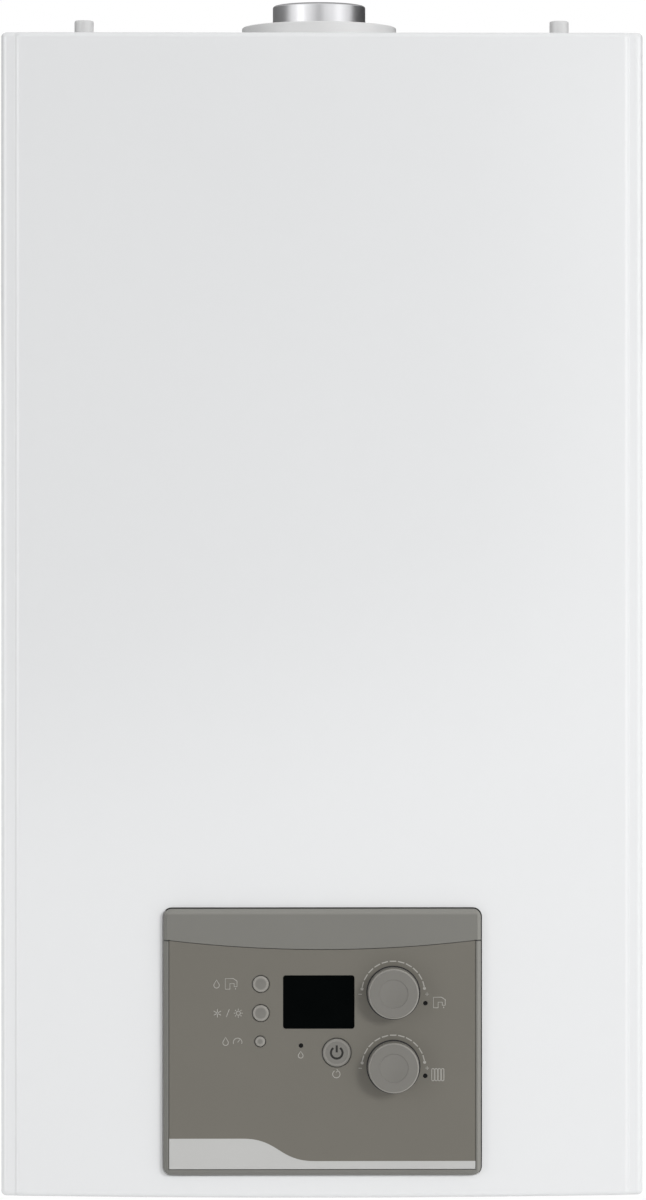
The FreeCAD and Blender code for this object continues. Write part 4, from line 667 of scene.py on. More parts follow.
def rim_highlight_plastic(node, inner, highlight_gain, soft=RIM_SOFT):
    """Control plastic with a painted highlight: lighter by a gain outside an inner radius, in millimetres,
    about a node's axis.
    """
    name = node + "_plastic"
    plastic = Finish(name)
    x, z = middle_of(node)
    across, up = plastic.along("X") - (panel_x + x * MM), plastic.along("Z") - (panel_z + z * MM)
    squares = across * across + up * up
    # Painted highlight: the rim is made lighter so that it reads as a pale ring of light.
    rim = ((squares.maths("SQRT", squares) - inner * MM) / soft).clamp()
    grain = plastic.noise(0.0004, 1.0)
    tone = plastic.varied(grain, CONTROL_GREY, 0.98, 1.02)
    plastic.set(
        Base_Color=plastic.blend(rim, tone, shade(CONTROL_GREY, highlight_gain)),
        Roughness=0.34 + grain * 0.06 - rim * 0.08,
        Normal=plastic.bump(grain, 0.000006),
    )
    return name


TO_FRONT = Matrix.Rotation(math.pi / 2, 4, "X")


def on_panel(node):
    """Matrix that tips a turned piece to the front and puts it at a node's middle."""
    x, z = middle_of(node)
    return Matrix.Translation((panel_x + x * MM, face_y, panel_z + z * MM)) @ TO_FRONT


def depths(node):
    """How far a node stands in front of the panel's face and behind it, and its radius, in millimetres."""
    low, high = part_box(node)
    return (face_y - low.y) / MM, (high.y - face_y) / MM, (high.x - low.x) / 2 / MM


print("the upper knob stands", round(depths("dhw_knob")[0], 1), "mm in front of the panel")

# %% [markdown]
# The knobs have a bevelled rim and a finger dish with a small step. Round each one lies a thin dark ring on
# the panel, painted shade that stands for the shadow in the gap round the knob's skirt. Behind the panel
# the outline goes on as the shaft.

# %% Knobs and the painted shade round them
KNOB_BEVEL, KNOB_LEAN = 0.9, 0.45
KNOB_LIFT, KNOB_FOOT, SHAFT_R = 0.5, 0.2, 3.0
DISH_R, DISH_STEP = 8.6, 0.45
DISH_DEPTH, DISH_RINGS = 0.8, 9
SHADE_RING_INNER, SHADE_RING_OUT, SHADE_RING_T = 14.5, 0.8, 0.06
KNOB_HIGHLIGHT_GAIN, CRISP = 1.6, 8
for knob in ("dhw_knob", "heating_knob"):
    reach, behind, radius = depths(knob)
    shoulder = radius - KNOB_LEAN
    outline = [(0, -behind), (SHAFT_R, -behind), (SHAFT_R, KNOB_LIFT), (radius - KNOB_FOOT, KNOB_LIFT)]
    outline += [(radius, KNOB_LIFT + KNOB_FOOT), (shoulder, reach - KNOB_BEVEL)]
    outline += [(shoulder - KNOB_BEVEL, reach), (DISH_R + DISH_STEP, reach)]
    for ring in range(DISH_RINGS, -1, -1):
        share = ring / DISH_RINGS
        outline.append((DISH_R * share, reach - DISH_STEP - DISH_DEPTH * (1 - share ** 2)))
    grey = rim_highlight_plastic(knob, shoulder - KNOB_BEVEL, KNOB_HIGHLIGHT_GAIN)
    cap_shape = lathe(outline, ROUND_STEPS)
    cap = turned(knob + "_cap", knob, cap_shape, on_panel(knob), grey, CRISP)
    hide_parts(knob)
    # Painted shade: a thin dark ring on the panel stands for the shadow in the gap round the knob.
    rim = radius + SHADE_RING_OUT
    shade_ring = lathe([(SHADE_RING_INNER, 0), (rim, 0), (rim, SHADE_RING_T), (SHADE_RING_INNER, SHADE_RING_T)], ROUND_STEPS, ring=True)
    turned(knob + "_well", "boiler", shade_ring, on_panel(knob), "black_plastic")

# %% [markdown]
# The three small buttons are crowned, and the power button has a sunk face inside a rim. Behind the panel
# each keeps the frame's flange, which stops it from falling out, and its stem.

# %% Buttons
FLANGE, FLANGE_T = 1.6, 1.2
BUTTON_PLAY, STEM_R = 0.2, 1.6
BUTTON_BEVEL, BUTTON_RIM, BUTTON_HIGHLIGHT_GAIN = 0.7, 1.3, 1.75
CROWN, CROWN_RINGS = 0.45, 6
POWER_RIM, POWER_SINK, POWER_HIGHLIGHT_GAIN = 1.3, 0.3, 1.25
fascia_back = (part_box("control_fascia")[1].y - face_y) / MM
flange_front = -fascia_back - BUTTON_PLAY
for button in ("eco_button", "season_button", "pressure_button", "power_button"):
    reach, behind, flange_r = depths(button)
    radius = flange_r - FLANGE
    edge = radius - BUTTON_BEVEL
    outline = [(0, -behind), (STEM_R, -behind), (STEM_R, flange_front - FLANGE_T)]
    outline += [(flange_r, flange_front - FLANGE_T), (flange_r, flange_front), (radius, flange_front)]
    if button == "power_button":
        rim, highlight_gain, soft = edge - POWER_RIM, POWER_HIGHLIGHT_GAIN, RIM_SOFT
        outline += [(radius, reach - BUTTON_BEVEL), (edge, reach), (rim + POWER_SINK, reach)]
        outline += [(rim, reach - POWER_SINK), (0, reach - POWER_SINK)]
    else:
        rim, highlight_gain, soft = edge - BUTTON_RIM, BUTTON_HIGHLIGHT_GAIN, BUTTON_RIM * MM
        outline += [(radius, reach - CROWN - BUTTON_BEVEL)]
        shares = [ring / CROWN_RINGS for ring in range(CROWN_RINGS, -1, -1)]
        outline += [(edge * share, reach - CROWN * share ** 2) for share in shares]
    grey = rim_highlight_plastic(button, rim, highlight_gain, soft)
    cap_shape = lathe(outline, SMALL_STEPS)
    cap = turned(button + "_cap", button, cap_shape, on_panel(button), grey, CRISP)
    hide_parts(button)

# %% [markdown]
# ## Patterns that grow
# Marks and fastenings repeat, so each kind is one Geometry Nodes tree with named inputs. A tree is grown
# once for each body that carries it, and the result becomes a plain mesh, because a finished part should
# not depend on a modifier. The tree always ends the same way: real geometry, then a material.


# %% A tree with named inputs
class Pattern(Wiring):
    """A Geometry Nodes tree that turns a seed mesh and a few numbers into a piece."""

    def __init__(self, name):
        super().__init__(bpy.data.node_groups.new(name, "GeometryNodeTree"))
        self.tree.interface.new_socket("Geometry", in_out="INPUT", socket_type="NodeSocketGeometry")
        self.tree.interface.new_socket("Geometry", in_out="OUTPUT", socket_type="NodeSocketGeometry")
        self.entry = self.tree.nodes.new("NodeGroupInput")
        self.exit = self.tree.nodes.new("NodeGroupOutput")
        self.seed = Sum(self.tree, self.entry.outputs["Geometry"])
        self.identifiers = {}

    def input(self, name, kind="NodeSocketFloat"):
        """A named input of the tree."""
        socket = self.tree.interface.new_socket(name, in_out="INPUT", socket_type=kind)
        self.identifiers[name] = socket.identifier
        return Sum(self.tree, self.entry.outputs[name])

    def end(self, geometry):
        """Real geometry, then the material, then the tree's output."""
        real = self.node("GeometryNodeRealizeInstances", {}, {"Geometry": geometry})
        material = self.input("Material", "NodeSocketMaterial")
        dressed = self.node("GeometryNodeSetMaterial", {}, {"Geometry": real, "Material": material})
        join(self.tree, self.exit.inputs["Geometry"], dressed)
        print(self.tree.name, "takes", list(self.identifiers))

    def piece(self, name, body, values, seed=None, place=None):
        """A plain mesh grown from the tree, moved to its place, which rides on a body."""
        holder = add_object(name, seed or bpy.data.meshes.new(name))
        modifier = holder.modifiers.new("grow", "NODES")
        modifier.node_group = self.tree
        for key, value in values.items():
            modifier[self.identifiers[key]] = value
        bpy.context.view_layer.update()
        grown = holder.evaluated_get(bpy.context.evaluated_depsgraph_get())
        mesh = bpy.data.meshes.new_from_object(grown)
        holder.modifiers.clear()
        holder.data = mesh
        mesh.name = name
        if place:
            mesh.transform(place)
        print(name, len(mesh.polygons), "faces")
        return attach(holder, body)


# %% [markdown]
# ## Dial scales
# Round each knob runs a broken line from low to high, with a dot at each end. The dashes are one small
# bar on points along an arc: each point's angle comes from its index, and the bar turns with it.

# %% Dashes on an arc
dial = Pattern("dial_scale")
arc_r, first, sweep = dial.input("Radius"), dial.input("First Angle"), dial.input("Sweep")
dashes = dial.input("Dashes", "NodeSocketInt")
share, width, relief = dial.input("Dash Share"), dial.input("Line Width"), dial.input("Relief")
dot = dial.input("Dot Radius")


def on_arc(count, steps, shift):
    """Points along the dial's arc and the turn of each: the place of number i is (i + shift) / steps."""
    index = dial.node("GeometryNodeInputIndex", {}, {})
    angle = first + sweep * (index + shift) / steps
    x, z = arc_r * angle.maths("COSINE", angle), arc_r * angle.maths("SINE", angle)
    spot = dial.node("ShaderNodeCombineXYZ", {}, {"X": x, "Y": 0.0, "Z": z})
    points = dial.node("GeometryNodePoints", {}, {"Count": count, "Position": spot})
    turn = dial.node("ShaderNodeCombineXYZ", {}, {"X": 0.0, "Y": -math.pi / 2 - angle, "Z": 0.0})
    return points, turn


points, turn = on_arc(dashes, dashes, 0.5)
length = arc_r * sweep.size() / dashes * share
bar = dial.node("ShaderNodeCombineXYZ", {}, {"X": length, "Y": relief, "Z": width})
dash = dial.node("GeometryNodeMeshCube", {}, {"Size": bar})
marks = dial.node("GeometryNodeInstanceOnPoints", {}, {"Points": points, "Instance": dash, "Rotation": turn})
points, turn = on_arc(2, 1.0, 0.0)
disc = dial.node("GeometryNodeMeshCylinder", {}, {"Vertices": 20, "Radius": dot, "Depth": relief})
flat = dial.node("GeometryNodeTransform", {}, {"Geometry": disc, "Rotation": (math.pi / 2, 0, 0)})
ends = dial.node("GeometryNodeInstanceOnPoints", {}, {"Points": points, "Instance": flat})
both = dial.tree.nodes.new("GeometryNodeJoinGeometry")
for part in (ends, marks):
    join(dial.tree, both.inputs["Geometry"], part)
dial.end(Sum(dial.tree, both.outputs["Geometry"]))

# %% [markdown]
# Print stands a few hundredths of a millimetre proud of the plastic. Each scale is grown about the origin
# and then moved to its knob, so that its place is in the mesh itself.

# %% The two scales
PRINT = 0.04
DIAL_R, DIAL_LINE, DOT_R = 19.6, 0.66, 0.95
DIAL_FIRST, DIAL_LAST = 173, 8
DIAL_DASHES, DASH_SHARE = 11, 0.8


def panel_shift(x, z, y=face_y, relief=PRINT):
    """Matrix that moves a mark drawn about the origin to its place, with its back at Y."""
    return Matrix.Translation((panel_x + x * MM, y - relief / 2 * MM, panel_z + z * MM))


dial_values = {
    "Radius": DIAL_R * MM,
    "First Angle": math.radians(DIAL_FIRST),
    "Sweep": math.radians(DIAL_LAST - DIAL_FIRST),
    "Dashes": DIAL_DASHES,
    "Dash Share": DASH_SHARE,
    "Line Width": DIAL_LINE * MM,
    "Relief": PRINT * MM,
    "Dot Radius": DOT_R * MM,
    "Material": finishes["pale_ink"],
}
for knob in ("dhw_knob", "heating_knob"):
    scale = dial.piece(knob + "_scale", "boiler", dial_values, place=panel_shift(*middle_of(knob)))

# %% [markdown]
# ## Printed pictograms
# The panel explains itself with small line drawings. Each one is a few polylines about its own middle,
# which a second tree turns into flat print: mesh edges become curves, and a thin rectangle runs along
# them. Drawing in the XY plane keeps the rectangle upright, and the finished print is tipped up to face
# the front.

# %% Flat lines from edges
print_line = Pattern("print_line")
width, relief = print_line.input("Line Width"), print_line.input("Relief")
profile = print_line.node("GeometryNodeCurvePrimitiveQuadrilateral", {}, {"Width": width, "Height": relief})
path = print_line.node("GeometryNodeMeshToCurve", {}, {"Mesh": print_line.seed})
run = {"Curve": path, "Profile Curve": profile, "Fill Caps": True}
line = print_line.node("GeometryNodeCurveToMesh", {}, run)
upright = print_line.node("GeometryNodeTransform", {}, {"Geometry": line, "Rotation": (math.pi / 2, 0, 0)})
print_line.end(upright)


def wire(name, lines):
    """Seed mesh: polylines in the XY plane, in millimetres; a closed one ends where it starts."""
    points, edges = [], []
    for line in lines:
        closed = math.dist(line[0], line[-1]) < 1e-6
        own = line[:-1] if closed else line
        start = len(points)
        points += [(x * MM, z * MM, 0) for x, z in own]
        edges += [(start + i, start + i + 1) for i in range(len(own) - 1)]
        if closed:
            edges.append((start + len(own) - 1, start))
    mesh = bpy.data.meshes.new(name)
    mesh.from_pydata(points, edges, [])
    return mesh


def line_piece(name, lines, place, line_width, relief, finish, body="boiler"):
    """Lines of a given width and height, in millimetres, as one piece."""
    values = {"Line Width": line_width * MM, "Relief": relief * MM, "Material": finishes[finish]}
    print_line.piece(name, body, values, wire(name + "_lines", lines), place)


FINE_LINE, BOLD_LINE = 0.42, 0.5


def printed(name, lines, x, z, line_width=FINE_LINE):
    """A pale drawing on the panel's face."""
    line_piece(name, lines, panel_shift(x, z), line_width, PRINT, "pale_ink")


# %% [markdown]
# ## The drawings
# A tap beside the upper knob, a radiator beside the lower one, minus and plus under the ends of their
# scales, a flame under the lamp. The buttons get a tap, a snowflake and a sun, a gauge, and a turning
# arrow, which are common signs for warm water, season, pressure and reset.


# %% Helpers for outlines
def pointed(r, low, tip, start):
    """A drop or flame: a round foot that runs up to a tip."""
    foot = arc(0, low, r, start, 540 - start)
    return [foot + [(0, tip)] + foot[:1]]


def column(x, half, low, high):
    """One rounded column of a radiator."""
    top, foot = arc(x, high - half, half, 180, 0, 8), arc(x, low + half, half, 0, -180, 8)
    return top + foot + top[:1]


def spokes(inner, outer, count, turn=360, start=0):
    """Lines from an inner to an outer radius, spread over a turn, in degrees."""
    angles = [math.radians(start + turn * i / count) for i in range(count)]
    return [[(r * math.cos(a), r * math.sin(a)) for r in (inner, outer)] for a in angles]


TAP = [
    [(-3.6, 3.4), (1.4, 3.4), (3.7, 1.8), (3.7, -1.6), (1.9, -1.6), (1.9, 0.3), (-0.7, 0.3), (-0.7, -3.2),
     (-3.6, -3.2), (-3.6, 3.4)],
    [(2.8, -2.4), (2.8, -3.4)],
]
RADIATOR = [column(x, 0.8, -3.8, 3.8) for x in (-3.0, -1.0, 1.0, 3.0)]
MINUS = [[(-1.1, 0), (1.1, 0)]]
PLUS = MINUS + [[(0, -1.1), (0, 1.1)]]
FLAME = pointed(1.5, -0.4, 2.3, 140)
DROP = pointed(1.7, -0.8, 2.6, 150)
SNOWFLAKE = spokes(-2.6, 2.6, 3, 180, 30)
SUN = [arc(0, 0, 1.3, 0, 360)] + spokes(1.9, 2.8, 8)
GAUGE = [arc(0, -0.6, 2.7, -20, 200), [(0, -0.6), (1.3, 1.1)]]
SLASH = [[(-0.9, -2.4), (0.9, 2.4)]]
RESET = [arc(0, 0, 2.3, 60, -240), [(0.2, 3.1), (1.2, 2.0), (-0.3, 1.2)]]
print("the tap has", sum(len(line) for line in TAP), "points")

# %% [markdown]
# The signs of knobs and buttons stand at a distance from them, so they follow if these move in the frame.
# The signs of the lamp and of reset have their own places on the panel.

# %% Signs on the panel
MINUS_LEFT, PLUS_RIGHT, MARKS_DOWN = 20.6, 21.0, 0.9
LAMP_SIGN, RESET_SIGN = (-13.5, -8.0), (8.7, -19.9)
beside_knobs = {
    "dhw_knob": ("tap_sign", TAP, 28.6, -6.2),
    "heating_knob": ("radiator_sign", RADIATOR, 27.6, -5.0),
}
for knob, (name, sign, right, up) in beside_knobs.items():
    x, z = middle_of(knob)
    printed(name, sign, x + right, z + up, BOLD_LINE)
    printed(knob + "_minus", MINUS, x - MINUS_LEFT, z - MARKS_DOWN)
    printed(knob + "_plus", PLUS, x + PLUS_RIGHT, z - MARKS_DOWN)
beside_buttons = {
    "eco_button": ((TAP, -18.5), (DROP, -27.5)),
    "season_button": ((SUN, -14.0), (SLASH, -20.5), (SNOWFLAKE, -27.0)),
    "pressure_button": ((GAUGE, -14.0), (DROP, -21.5)),
}
for button, signs in beside_buttons.items():
    x, z = middle_of(button)
    for order, (sign, left) in enumerate(signs):
        printed(f"{button}_sign_{order}", sign, x + left, z)
printed("lamp_sign", FLAME, *LAMP_SIGN)
printed("reset_sign", RESET, *RESET_SIGN)

# %% [markdown]
# ## Power symbol
# The power button carries a broken ring with a stroke at its top. It is printed on the button's sunk
# face, so it rides on the button's body and sinks with it when the button is pressed.

# %% Symbol on the power button
POWER = [arc(0, 0, 3.6, 125, 415, 28), [(0, 0.2), (0, 4.6)]]
POWER_LINE = 1.3
button_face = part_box("power_button")[0].y + POWER_SINK * MM
symbol_place = panel_shift(*middle_of("power_button"), y=button_face)
line_piece(
    "power_symbol", POWER, symbol_place, POWER_LINE, PRINT, "dark_ink", "power_button"
)

# %% [markdown]
# ## Lip round the panel
# The cover's cut-out is a little larger than the panel, and a soft lip closes the gap so that no light
# comes through from behind. It is one outline with rounded corners, cut at two of them. Above and on the
# right the lip is dark, painted shade that stands for the shadow in the gap there; to the left and below
# it is pale, pressed up to the white edge of the cover.

# %% Soft lip
LIP, LIP_CLEAR, LIP_CORNER = 0.72, 0.4, 5.4
LIP_DEPTH, LIP_SINK = 8.0, 0.6
lip_x, lip_z = panel_half_x / MM + LIP_CLEAR, panel_half_z / MM + LIP_CLEAR


def corner(right, up, start, stop):
    """Part of a rounded corner of the lip's outline; right and up are 1 or -1."""
    return arc(right * (lip_x - LIP_CORNER), up * (lip_z - LIP_CORNER), LIP_CORNER, start, stop, 8)


# Painted shade: the lip above and on the right is dark to stand for the shadow in the gap there.
gap_shade_side = corner(-1, 1, 135, 90) + corner(1, 1, 90, 0) + corner(1, -1, 0, -45)
pale_side = corner(1, -1, -45, -90) + corner(-1, -1, 270, 180) + corner(-1, 1, 180, 135)
lip_place = panel_shift(0, 0, front_y + (LIP_SINK + LIP_DEPTH) * MM, LIP_DEPTH)
line_piece("panel_lip_dark", [gap_shade_side], lip_place, LIP, LIP_DEPTH, "soft_seal")
line_piece("panel_lip_pale", [pale_side], lip_place, LIP, LIP_DEPTH, "pale_plastic")

# %% [markdown]
# ## Pipe threads
# The five pipe ends below the case are threaded for union nuts. A thread is a ridge on a helix, so the
# tree draws a spiral of the pipe's radius and runs a small diamond along it: half of the diamond sinks
# into the pipe.

# %% A ridge on a helix
thread = Pattern("pipe_thread")
pipe_r, pitch = thread.input("Pipe Radius"), thread.input("Pitch")
turns, ridge = thread.input("Turns"), thread.input("Ridge")
spiral = {"Resolution": 40, "Rotations": turns, "Height": pitch * turns}
spiral.update({"Start Radius": pipe_r, "End Radius": pipe_r})
helix = thread.node("GeometryNodeCurveSpiral", {}, spiral)
diamond = thread.node("GeometryNodeCurvePrimitiveCircle", {}, {"Resolution": 4, "Radius": ridge})
run = {"Curve": helix, "Profile Curve": diamond, "Fill Caps": True}
thread.end(thread.node("GeometryNodeCurveToMesh", {}, run))

# %% [markdown]
# A pipe's end is found from the lowest points of its node. The thread starts a little above it and stops
# under the nut that holds the pipe in the bracket.

# %% Threads on the pipe ends
THREAD_PITCH, THREAD_RIDGE = 1.814, 0.75
THREAD_SINK, THREAD_CLEAR, NUT_T = 0.2, 1.6, 5.0
TWO_PIPES = 100 * MM


def pipe_ends(node):
    """Middle and radius of each pipe end of a node, from its lowest points; a wide node has two ends."""
    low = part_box(node)[0].z
    foot = [v.co for v in nodes[node].data.vertices if v.co.z < low + 0.01 * MM]
    wide = max(p.x for p in foot) - min(p.x for p in foot) > TWO_PIPES
    ends = []
    halves = [[p for p in foot if p.x < 0], [p for p in foot if p.x > 0]]
    for group in halves if wide else [foot]:
        xs, ys = [p.x for p in group], [p.y for p in group]
        middle = Vector(((min(xs) + max(xs)) / 2, (min(ys) + max(ys)) / 2, low))
        ends.append((middle, (max(xs) - min(xs)) / 2))
    return ends


thread_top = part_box("connection_bracket")[0].z - NUT_T * MM
for node in ("heating_connections", "gas_inlet_pipe", "hot_water_pipe", "cold_water_pipe"):
    for order, (end, end_r) in enumerate(pipe_ends(node)):
        values = {
            "Pipe Radius": end_r - THREAD_SINK * MM,
            "Pitch": THREAD_PITCH * MM,
            "Turns": ((thread_top - end.z) / MM - 2 * THREAD_CLEAR) / THREAD_PITCH,
            "Ridge": THREAD_RIDGE * MM,
            "Material": finishes["brass"],
        }
        place = Matrix.Translation(end + Vector((0, 0, THREAD_CLEAR * MM)))
        thread.piece(f"{node}_thread_{order}", "boiler", values, place=place)

# %% [markdown]
# ## Screws
# The frame's screws are plain turned heads. The real ones are cross-recess pan heads, so one detailed
# screw is turned on the lathe and its recess is cut by two crossed bars.

# %% One cross-recess screw
HEAD_R, HEAD_H, HEAD_SIDE = 4.5, 2.0, 0.35
SHANK_R, SCREW_STEPS = 2.0, 40
RECESS_R, RECESS_W, RECESS_D = 2.6, 0.95, 1.3


def screw_outline():
    """Half outline of a pan head with a short shank, its seat at height 0."""
    crown = []
    for degrees in (0, 18, 36, 54, 72):
        a = math.radians(degrees)
        height = HEAD_SIDE + (1 - HEAD_SIDE) * math.sin(a)
        crown.append((HEAD_R * math.cos(a), HEAD_H * height))
    return [(0, -SHANK_R), (SHANK_R, -SHANK_R), (SHANK_R, 0), (HEAD_R, 0)] + crown + [(0, HEAD_H)]


def cross():
    """Two crossed bars that cut the recess."""
    bars = bmesh.new()
    size = Matrix.Diagonal((2 * RECESS_R * MM, RECESS_W * MM, 2 * RECESS_D * MM, 1))
    for turn in (0, math.pi / 2):
        place = Matrix.Translation((0, 0, HEAD_H * MM)) @ Matrix.Rotation(turn, 4, "Z") @ size
        bmesh.ops.create_cube(bars, size=1, matrix=place)
    return bars


head = add_object("pan_head", smooth_mesh("pan_head", lathe(screw_outline(), SCREW_STEPS)))
recess = add_object("recess", smooth_mesh("recess", cross()))
cut = head.modifiers.new("recess", "BOOLEAN")
cut.object, cut.operation = recess, "DIFFERENCE"
cut.solver, cut.use_self = "EXACT", True
bpy.context.view_layer.update()
screw_mesh = bpy.data.meshes.new_from_object(head.evaluated_get(bpy.context.evaluated_depsgraph_get()))
for thing in (head, recess):
    bpy.data.objects.remove(thing)
print("screw", len(screw_mesh.polygons), "faces")

# %% [markdown]
# The screw goes on a point at each place. The points come from the frame's own screws: the middle of each
# loose piece, with the way it faces stored on the point. A copy of the frame's mesh is merged first,
# because its triangles are loose.


# %% Places of the screws
def loose_boxes(node):
    """Box of each loose piece of a node, as (lowest, highest) corners."""
    shape = bmesh.new()
    shape.from_mesh(nodes[node].data)
    bmesh.ops.remove_doubles(shape, verts=shape.verts, dist=0.001 * MM)
    left, boxes = set(shape.verts), []
    while left:
        group, edge = set(), [left.pop()]
        while edge:
            vert = edge.pop()
            group.add(vert)
            fresh = {e.other_vert(vert) for e in vert.link_edges} & left
            left -= fresh
            edge += fresh
        spans = list(zip(*[vert.co for vert in group]))
        boxes.append((Vector(map(min, spans)), Vector(map(max, spans))))
    shape.free()
    return boxes


def screw_seat(low, high):
    """Seat of a screw with this box, and the way that its head faces."""
    middle = (low + high) / 2
    if high.z > cover_high.z:
        return Vector((middle.x, middle.y, high.z - HEAD_H * MM)), Vector((0, 0, 1))
    if low.z < cover_low.z:
        return Vector((middle.x, middle.y, low.z + HEAD_H * MM)), Vector((0, 0, -1))
    return Vector((middle.x, low.y + HEAD_H * MM, middle.z)), Vector((0, -1, 0))


seats = [screw_seat(low, high) for low, high in loose_boxes("casing_screws")]
seats.sort(key=lambda seat: tuple(seat[0]))
seed = bpy.data.meshes.new("screw_seats")
seed.from_pydata([seat for seat, way in seats], [], [])
ways = seed.attributes.new("facing", "FLOAT_VECTOR", "POINT")
for item, (seat, way) in zip(ways.data, seats):
    item.vector = way
print("screw places:", len(seats))

# %% [markdown]
# Nobody lines up the recesses of screws, so each one stops at another angle. The seed is fixed, so that
# every run gives the same angles.

# %% Screws on their places
TWIST_SEED = 7
screwing = Pattern("screws_on_points")
facing = screwing.node("GeometryNodeInputNamedAttribute", {"data_type": "FLOAT_VECTOR"}, {"Name": "facing"})
chance = {2: 0.0, 3: math.pi / 2, "Seed": TWIST_SEED}
twist = screwing.node("FunctionNodeRandomValue", {"data_type": "FLOAT"}, chance, 1)
aligned = screwing.node("FunctionNodeAlignRotationToVector", {"axis": "Z"}, {"Vector": facing})
spin = screwing.node("ShaderNodeCombineXYZ", {}, {"X": 0.0, "Y": 0.0, "Z": twist})
turned_way = screwing.node("FunctionNodeRotateRotation", {"rotation_space": "LOCAL"}, {0: aligned, 1: spin})
spots = screwing.node("GeometryNodeMeshToPoints", {}, {"Mesh": screwing.seed})
model = screwing.input("Screw", "NodeSocketObject")
screw = screwing.node("GeometryNodeObjectInfo", {}, {"Object": model}, "Geometry")
set_screws = {"Points": spots, "Instance": screw, "Rotation": turned_way}
screwing.end(screwing.node("GeometryNodeInstanceOnPoints", {}, set_screws))

one_screw = add_object("one_screw", screw_mesh)
values = {"Screw": one_screw, "Material": finishes["zinc_screw"]}
screws = screwing.piece("cross_recess_screws", "boiler", values, seed)
bpy.data.objects.remove(one_screw)
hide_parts("casing_screws")

# %% [markdown]
# ## Floor
# The boiler hangs on a wall, so the floor is only a pale disc below it. To the camera and to reflections
# it is mostly white, like the background, and it keeps a little of its own shading for the shadow. It
# fades to full white further out, so that no edge shows, and from below it is clear, so that it never
# hides the pipes.

# %% Pale floor
FLOOR_DROP, FLOOR_RADIUS = 0.55, 6.0
FLOOR_WHITE, FLOOR_FADE = 0.75, 1.8
WHITE = (1, 1, 1, 1)


def direct_rays(wiring):
    """1 for what the camera, a mirror or a pane sees directly, 0 for other light."""
    kinds = ("Is Camera Ray", "Is Glossy Ray", "Is Transmission Ray")
    seen, mirrored_ray, through = [wiring.node("ShaderNodeLightPath", {}, {}, kind) for kind in kinds]
    return (seen + mirrored_ray + through).clamp()


pale = Finish("pale_floor")
pale.set(Base_Color=srgb(236, 236, 236), Roughness=0.8)
solid = Sum(pale.tree, pale.shader.outputs[0])
glow = pale.node("ShaderNodeEmission", {}, {"Color": WHITE, "Strength": 1.0})
away = pale.node("ShaderNodeVectorMath", {"operation": "LENGTH"}, {0: pale.place()}, "Value")
white = FLOOR_WHITE + (1 - FLOOR_WHITE) * (away / FLOOR_FADE).clamp()
mixed = pale.node("ShaderNodeMixShader", {}, {0: direct_rays(pale) * white, 1: solid, 2: glow})
under = pale.node("ShaderNodeNewGeometry", {}, {}, "Backfacing")
clear = pale.node("ShaderNodeBsdfTransparent", {}, {})
shown = pale.node("ShaderNodeMixShader", {}, {0: under, 1: mixed, 2: clear})
join(pale.tree, pale.tree.nodes["Material Output"].inputs["Surface"], shown)

ground = bmesh.new()
bmesh.ops.create_circle(ground, cap_ends=True, segments=96, radius=FLOOR_RADIUS)
floor = add_object("floor", smooth_mesh("floor", ground))
floor.location = (0, 0, cad_box[0][2] - FLOOR_DROP)
floor.data.materials.append(finishes["pale_floor"])
print("floor", FLOOR_DROP, "m below the pipe ends")

# %% [markdown]
# ## Studio light
# A catalogue picture of a white object on white. Two tall soft boxes stand at the front corners and leave
# the two bright stripes on the flue tube. A smaller key light on the right throws the knobs' shadows, and
# weak lights below, above and at both sides lift the faces that the front lights don't reach; reflections
# don't see these.


# %% Lights
def soft_box(name, place, target, width, height, power):
    """Area light that faces a point."""
    data = bpy.data.lights.new(name, "AREA")
    data.shape = "RECTANGLE"
    data.size, data.size_y = width, height
    data.energy = power
    lamp = add_object(name, data)
    lamp.location = place
    lamp.rotation_euler = (Vector(target) - Vector(place)).to_track_quat("-Z", "Y").to_euler()
    return lamp


case_middle, panel_middle = (0, front_y, centre_z), (0, front_y, panel_z)
soft_box("right_box", (2.4, -2.15, -0.2), case_middle, 0.7, 1.8, 6.5)
soft_box("left_box", (-2.3, -2.3, -0.2), case_middle, 0.7, 1.8, 11)
fills = [
    soft_box("key", (1.45, -2.6, 0.2), case_middle, 0.7, 0.7, 31.5),
    soft_box("low_box", (0.3, -2.4, -1.05), panel_middle, 1.6, 0.4, 2),
    soft_box("top_box", (0, -0.15, 2.3), case_middle, 1.6, 1.0, 16),
    soft_box("left_fill", (-3.0, 0.1, -0.2), case_middle, 1.5, 1.5, 16),
    soft_box("right_fill", (3.0, 0.1, -0.2), case_middle, 1.5, 1.5, 6),
]
for fill in fills:
    fill.visible_glossy = False
print("lights:", len(bpy.data.lights))

# %% [markdown]
# The world is plain white to the camera and to reflections, and gives a softer light to everything else,
# so that the white case doesn't clip.

# %% World
WORLD_LIGHT = 0.4
world = bpy.data.worlds.new("white_studio")
world.use_nodes = True
bpy.context.scene.world = world
sky = Wiring(world.node_tree)
background = sky.tree.nodes["Background"]
background.inputs["Color"].default_value = WHITE
join(sky.tree, background.inputs["Strength"], WORLD_LIGHT + direct_rays(sky) * (1 - WORLD_LIGHT))
bpy.context.scene.view_settings.view_transform = "Standard"
print("world light", WORLD_LIGHT)

# %% [markdown]
# ## Reflections
# A white room would leave a metal tube without form. In a studio, grey cards stand where only the
# reflections see them: one behind the camera for the soft change of tone half-way down the case, a paler
# one above it for the grey middle of the tube, and two tall bent screens, two metres away round the
# back, for the tube's dark edges. They are hidden from the camera and throw no shadow.

# %% Cards that only reflections see
BLACK = (0, 0, 0, 1)


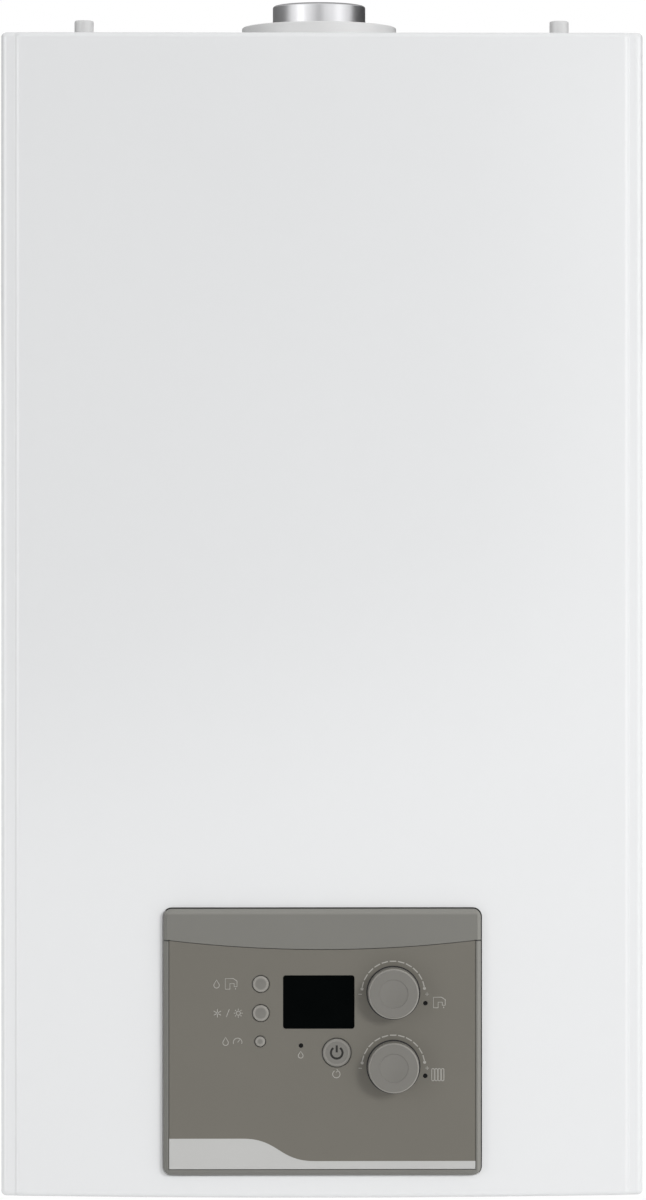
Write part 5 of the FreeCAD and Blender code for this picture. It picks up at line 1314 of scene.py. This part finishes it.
def card(name, rows, finish):
    """A card whose corners are given row by row: a strip of quads that only reflections see."""
    points = [point for row in rows for point in row]
    faces = [(2 * i, 2 * i + 1, 2 * i + 3, 2 * i + 2) for i in range(len(rows) - 1)]
    mesh = bpy.data.meshes.new(name)
    mesh.from_pydata(points, [], faces)
    mesh.materials.append(finishes[finish])
    board = add_object(name, mesh)
    board.visible_camera = board.visible_diffuse = board.visible_shadow = board.visible_transmission = False
    print(name, len(faces), "faces")


def paper(name, tone):
    """Card of one tone."""
    grey = (tone, tone, tone, 1)
    Finish(name).set(Base_Color=BLACK, Specular_IOR_Level=0.0, Emission_Color=grey, Emission_Strength=1.0)
    return name


SCREEN_R, SCREEN_LOW, SCREEN_HIGH = 2.0, -0.05, 0.9
LEFT_SPAN, RIGHT_SPAN = (-83, -178), (88, 178)
LEFT_TONE, RIGHT_TONE = 0.13, 0.02


def bent_rows(start, stop, steps=12):
    """Corners of a screen bent round the flue's axis; 0 degrees is the front and right is positive."""
    axis_y = upright_axis("flue_spigot").translation.y
    spots = arc(0, axis_y, SCREEN_R, start - 90, stop - 90, steps)
    return [[(x, y, z) for z in (SCREEN_LOW, SCREEN_HIGH)] for x, y in spots]


card("left_screen", bent_rows(*LEFT_SPAN), paper("left_paper", LEFT_TONE))
card("right_screen", bent_rows(*RIGHT_SPAN), paper("right_paper", RIGHT_TONE))

# %% [markdown]
# A point of the flat front mirrors a point of the plane behind the camera, so the edge of the card there
# is worked out from where the change of tone lies on the case: a soft slanting line, and an upright one
# near the right edge.

# %% Card for the case
CARD_Y, CARD_FOOT, CARD_HEAD = -4.6, -1.6, 1.6
CARD_STEP = 0.01
CASE_CARD_X, TUBE_CARD_X = (-1.4, 1.4), (-0.85, 0.75)
CASE_TONE, TUBE_TONE = 0.08, 0.25
LINE_LEFT, LINE_RIGHT, SIDE_X = (-0.14, -0.375), (0.12, -0.32), 0.15
LINE_SOFT, SIDE_SOFT = 0.3, 0.25
spread = (front_y - CARD_Y) / CAMERA_DISTANCE


def mirrored(x, z):
    """Where a point of the flat front, in metres, meets the card's plane in the mirror."""
    return x + spread * (x - camera.location.x), z + spread * (z - centre_z)


def fading_paper(name, dark, level, tilt, softness, side, side_softness):
    """Card that is dark above a slanting line and to the left of an upright one, and white elsewhere."""
    sheet = Finish(name)
    x, z = sheet.along("X"), sheet.along("Z")
    above = ((z - x * tilt - level) / softness + 0.5).clamp()
    inside = ((side - x) / side_softness + 0.5).clamp()
    tone = sheet.blend(above * inside, WHITE, (dark, dark, dark, 1))
    sheet.set(Base_Color=BLACK, Specular_IOR_Level=0.0, Emission_Color=tone, Emission_Strength=1.0)
    return name


def upright_rows(sides, foot, head):
    """Corners of a flat card in the plane behind the camera."""
    return [[(x, CARD_Y, foot), (x, CARD_Y, head)] for x in sides]


left_x, left_z = mirrored(*LINE_LEFT)
right_x, right_z = mirrored(*LINE_RIGHT)
tilt = (right_z - left_z) / (right_x - left_x)
level = left_z - tilt * left_x
edge_x, case_z = mirrored(SIDE_X, cover_high.z)
case_paper = fading_paper("case_paper", CASE_TONE, level, tilt, LINE_SOFT, edge_x, SIDE_SOFT)
tube_paper = paper("tube_paper", TUBE_TONE)
card("case_card", upright_rows(CASE_CARD_X, CARD_FOOT, case_z + CARD_STEP), case_paper)
card("tube_card", upright_rows(TUBE_CARD_X, case_z + 2 * CARD_STEP, CARD_HEAD), tube_paper)
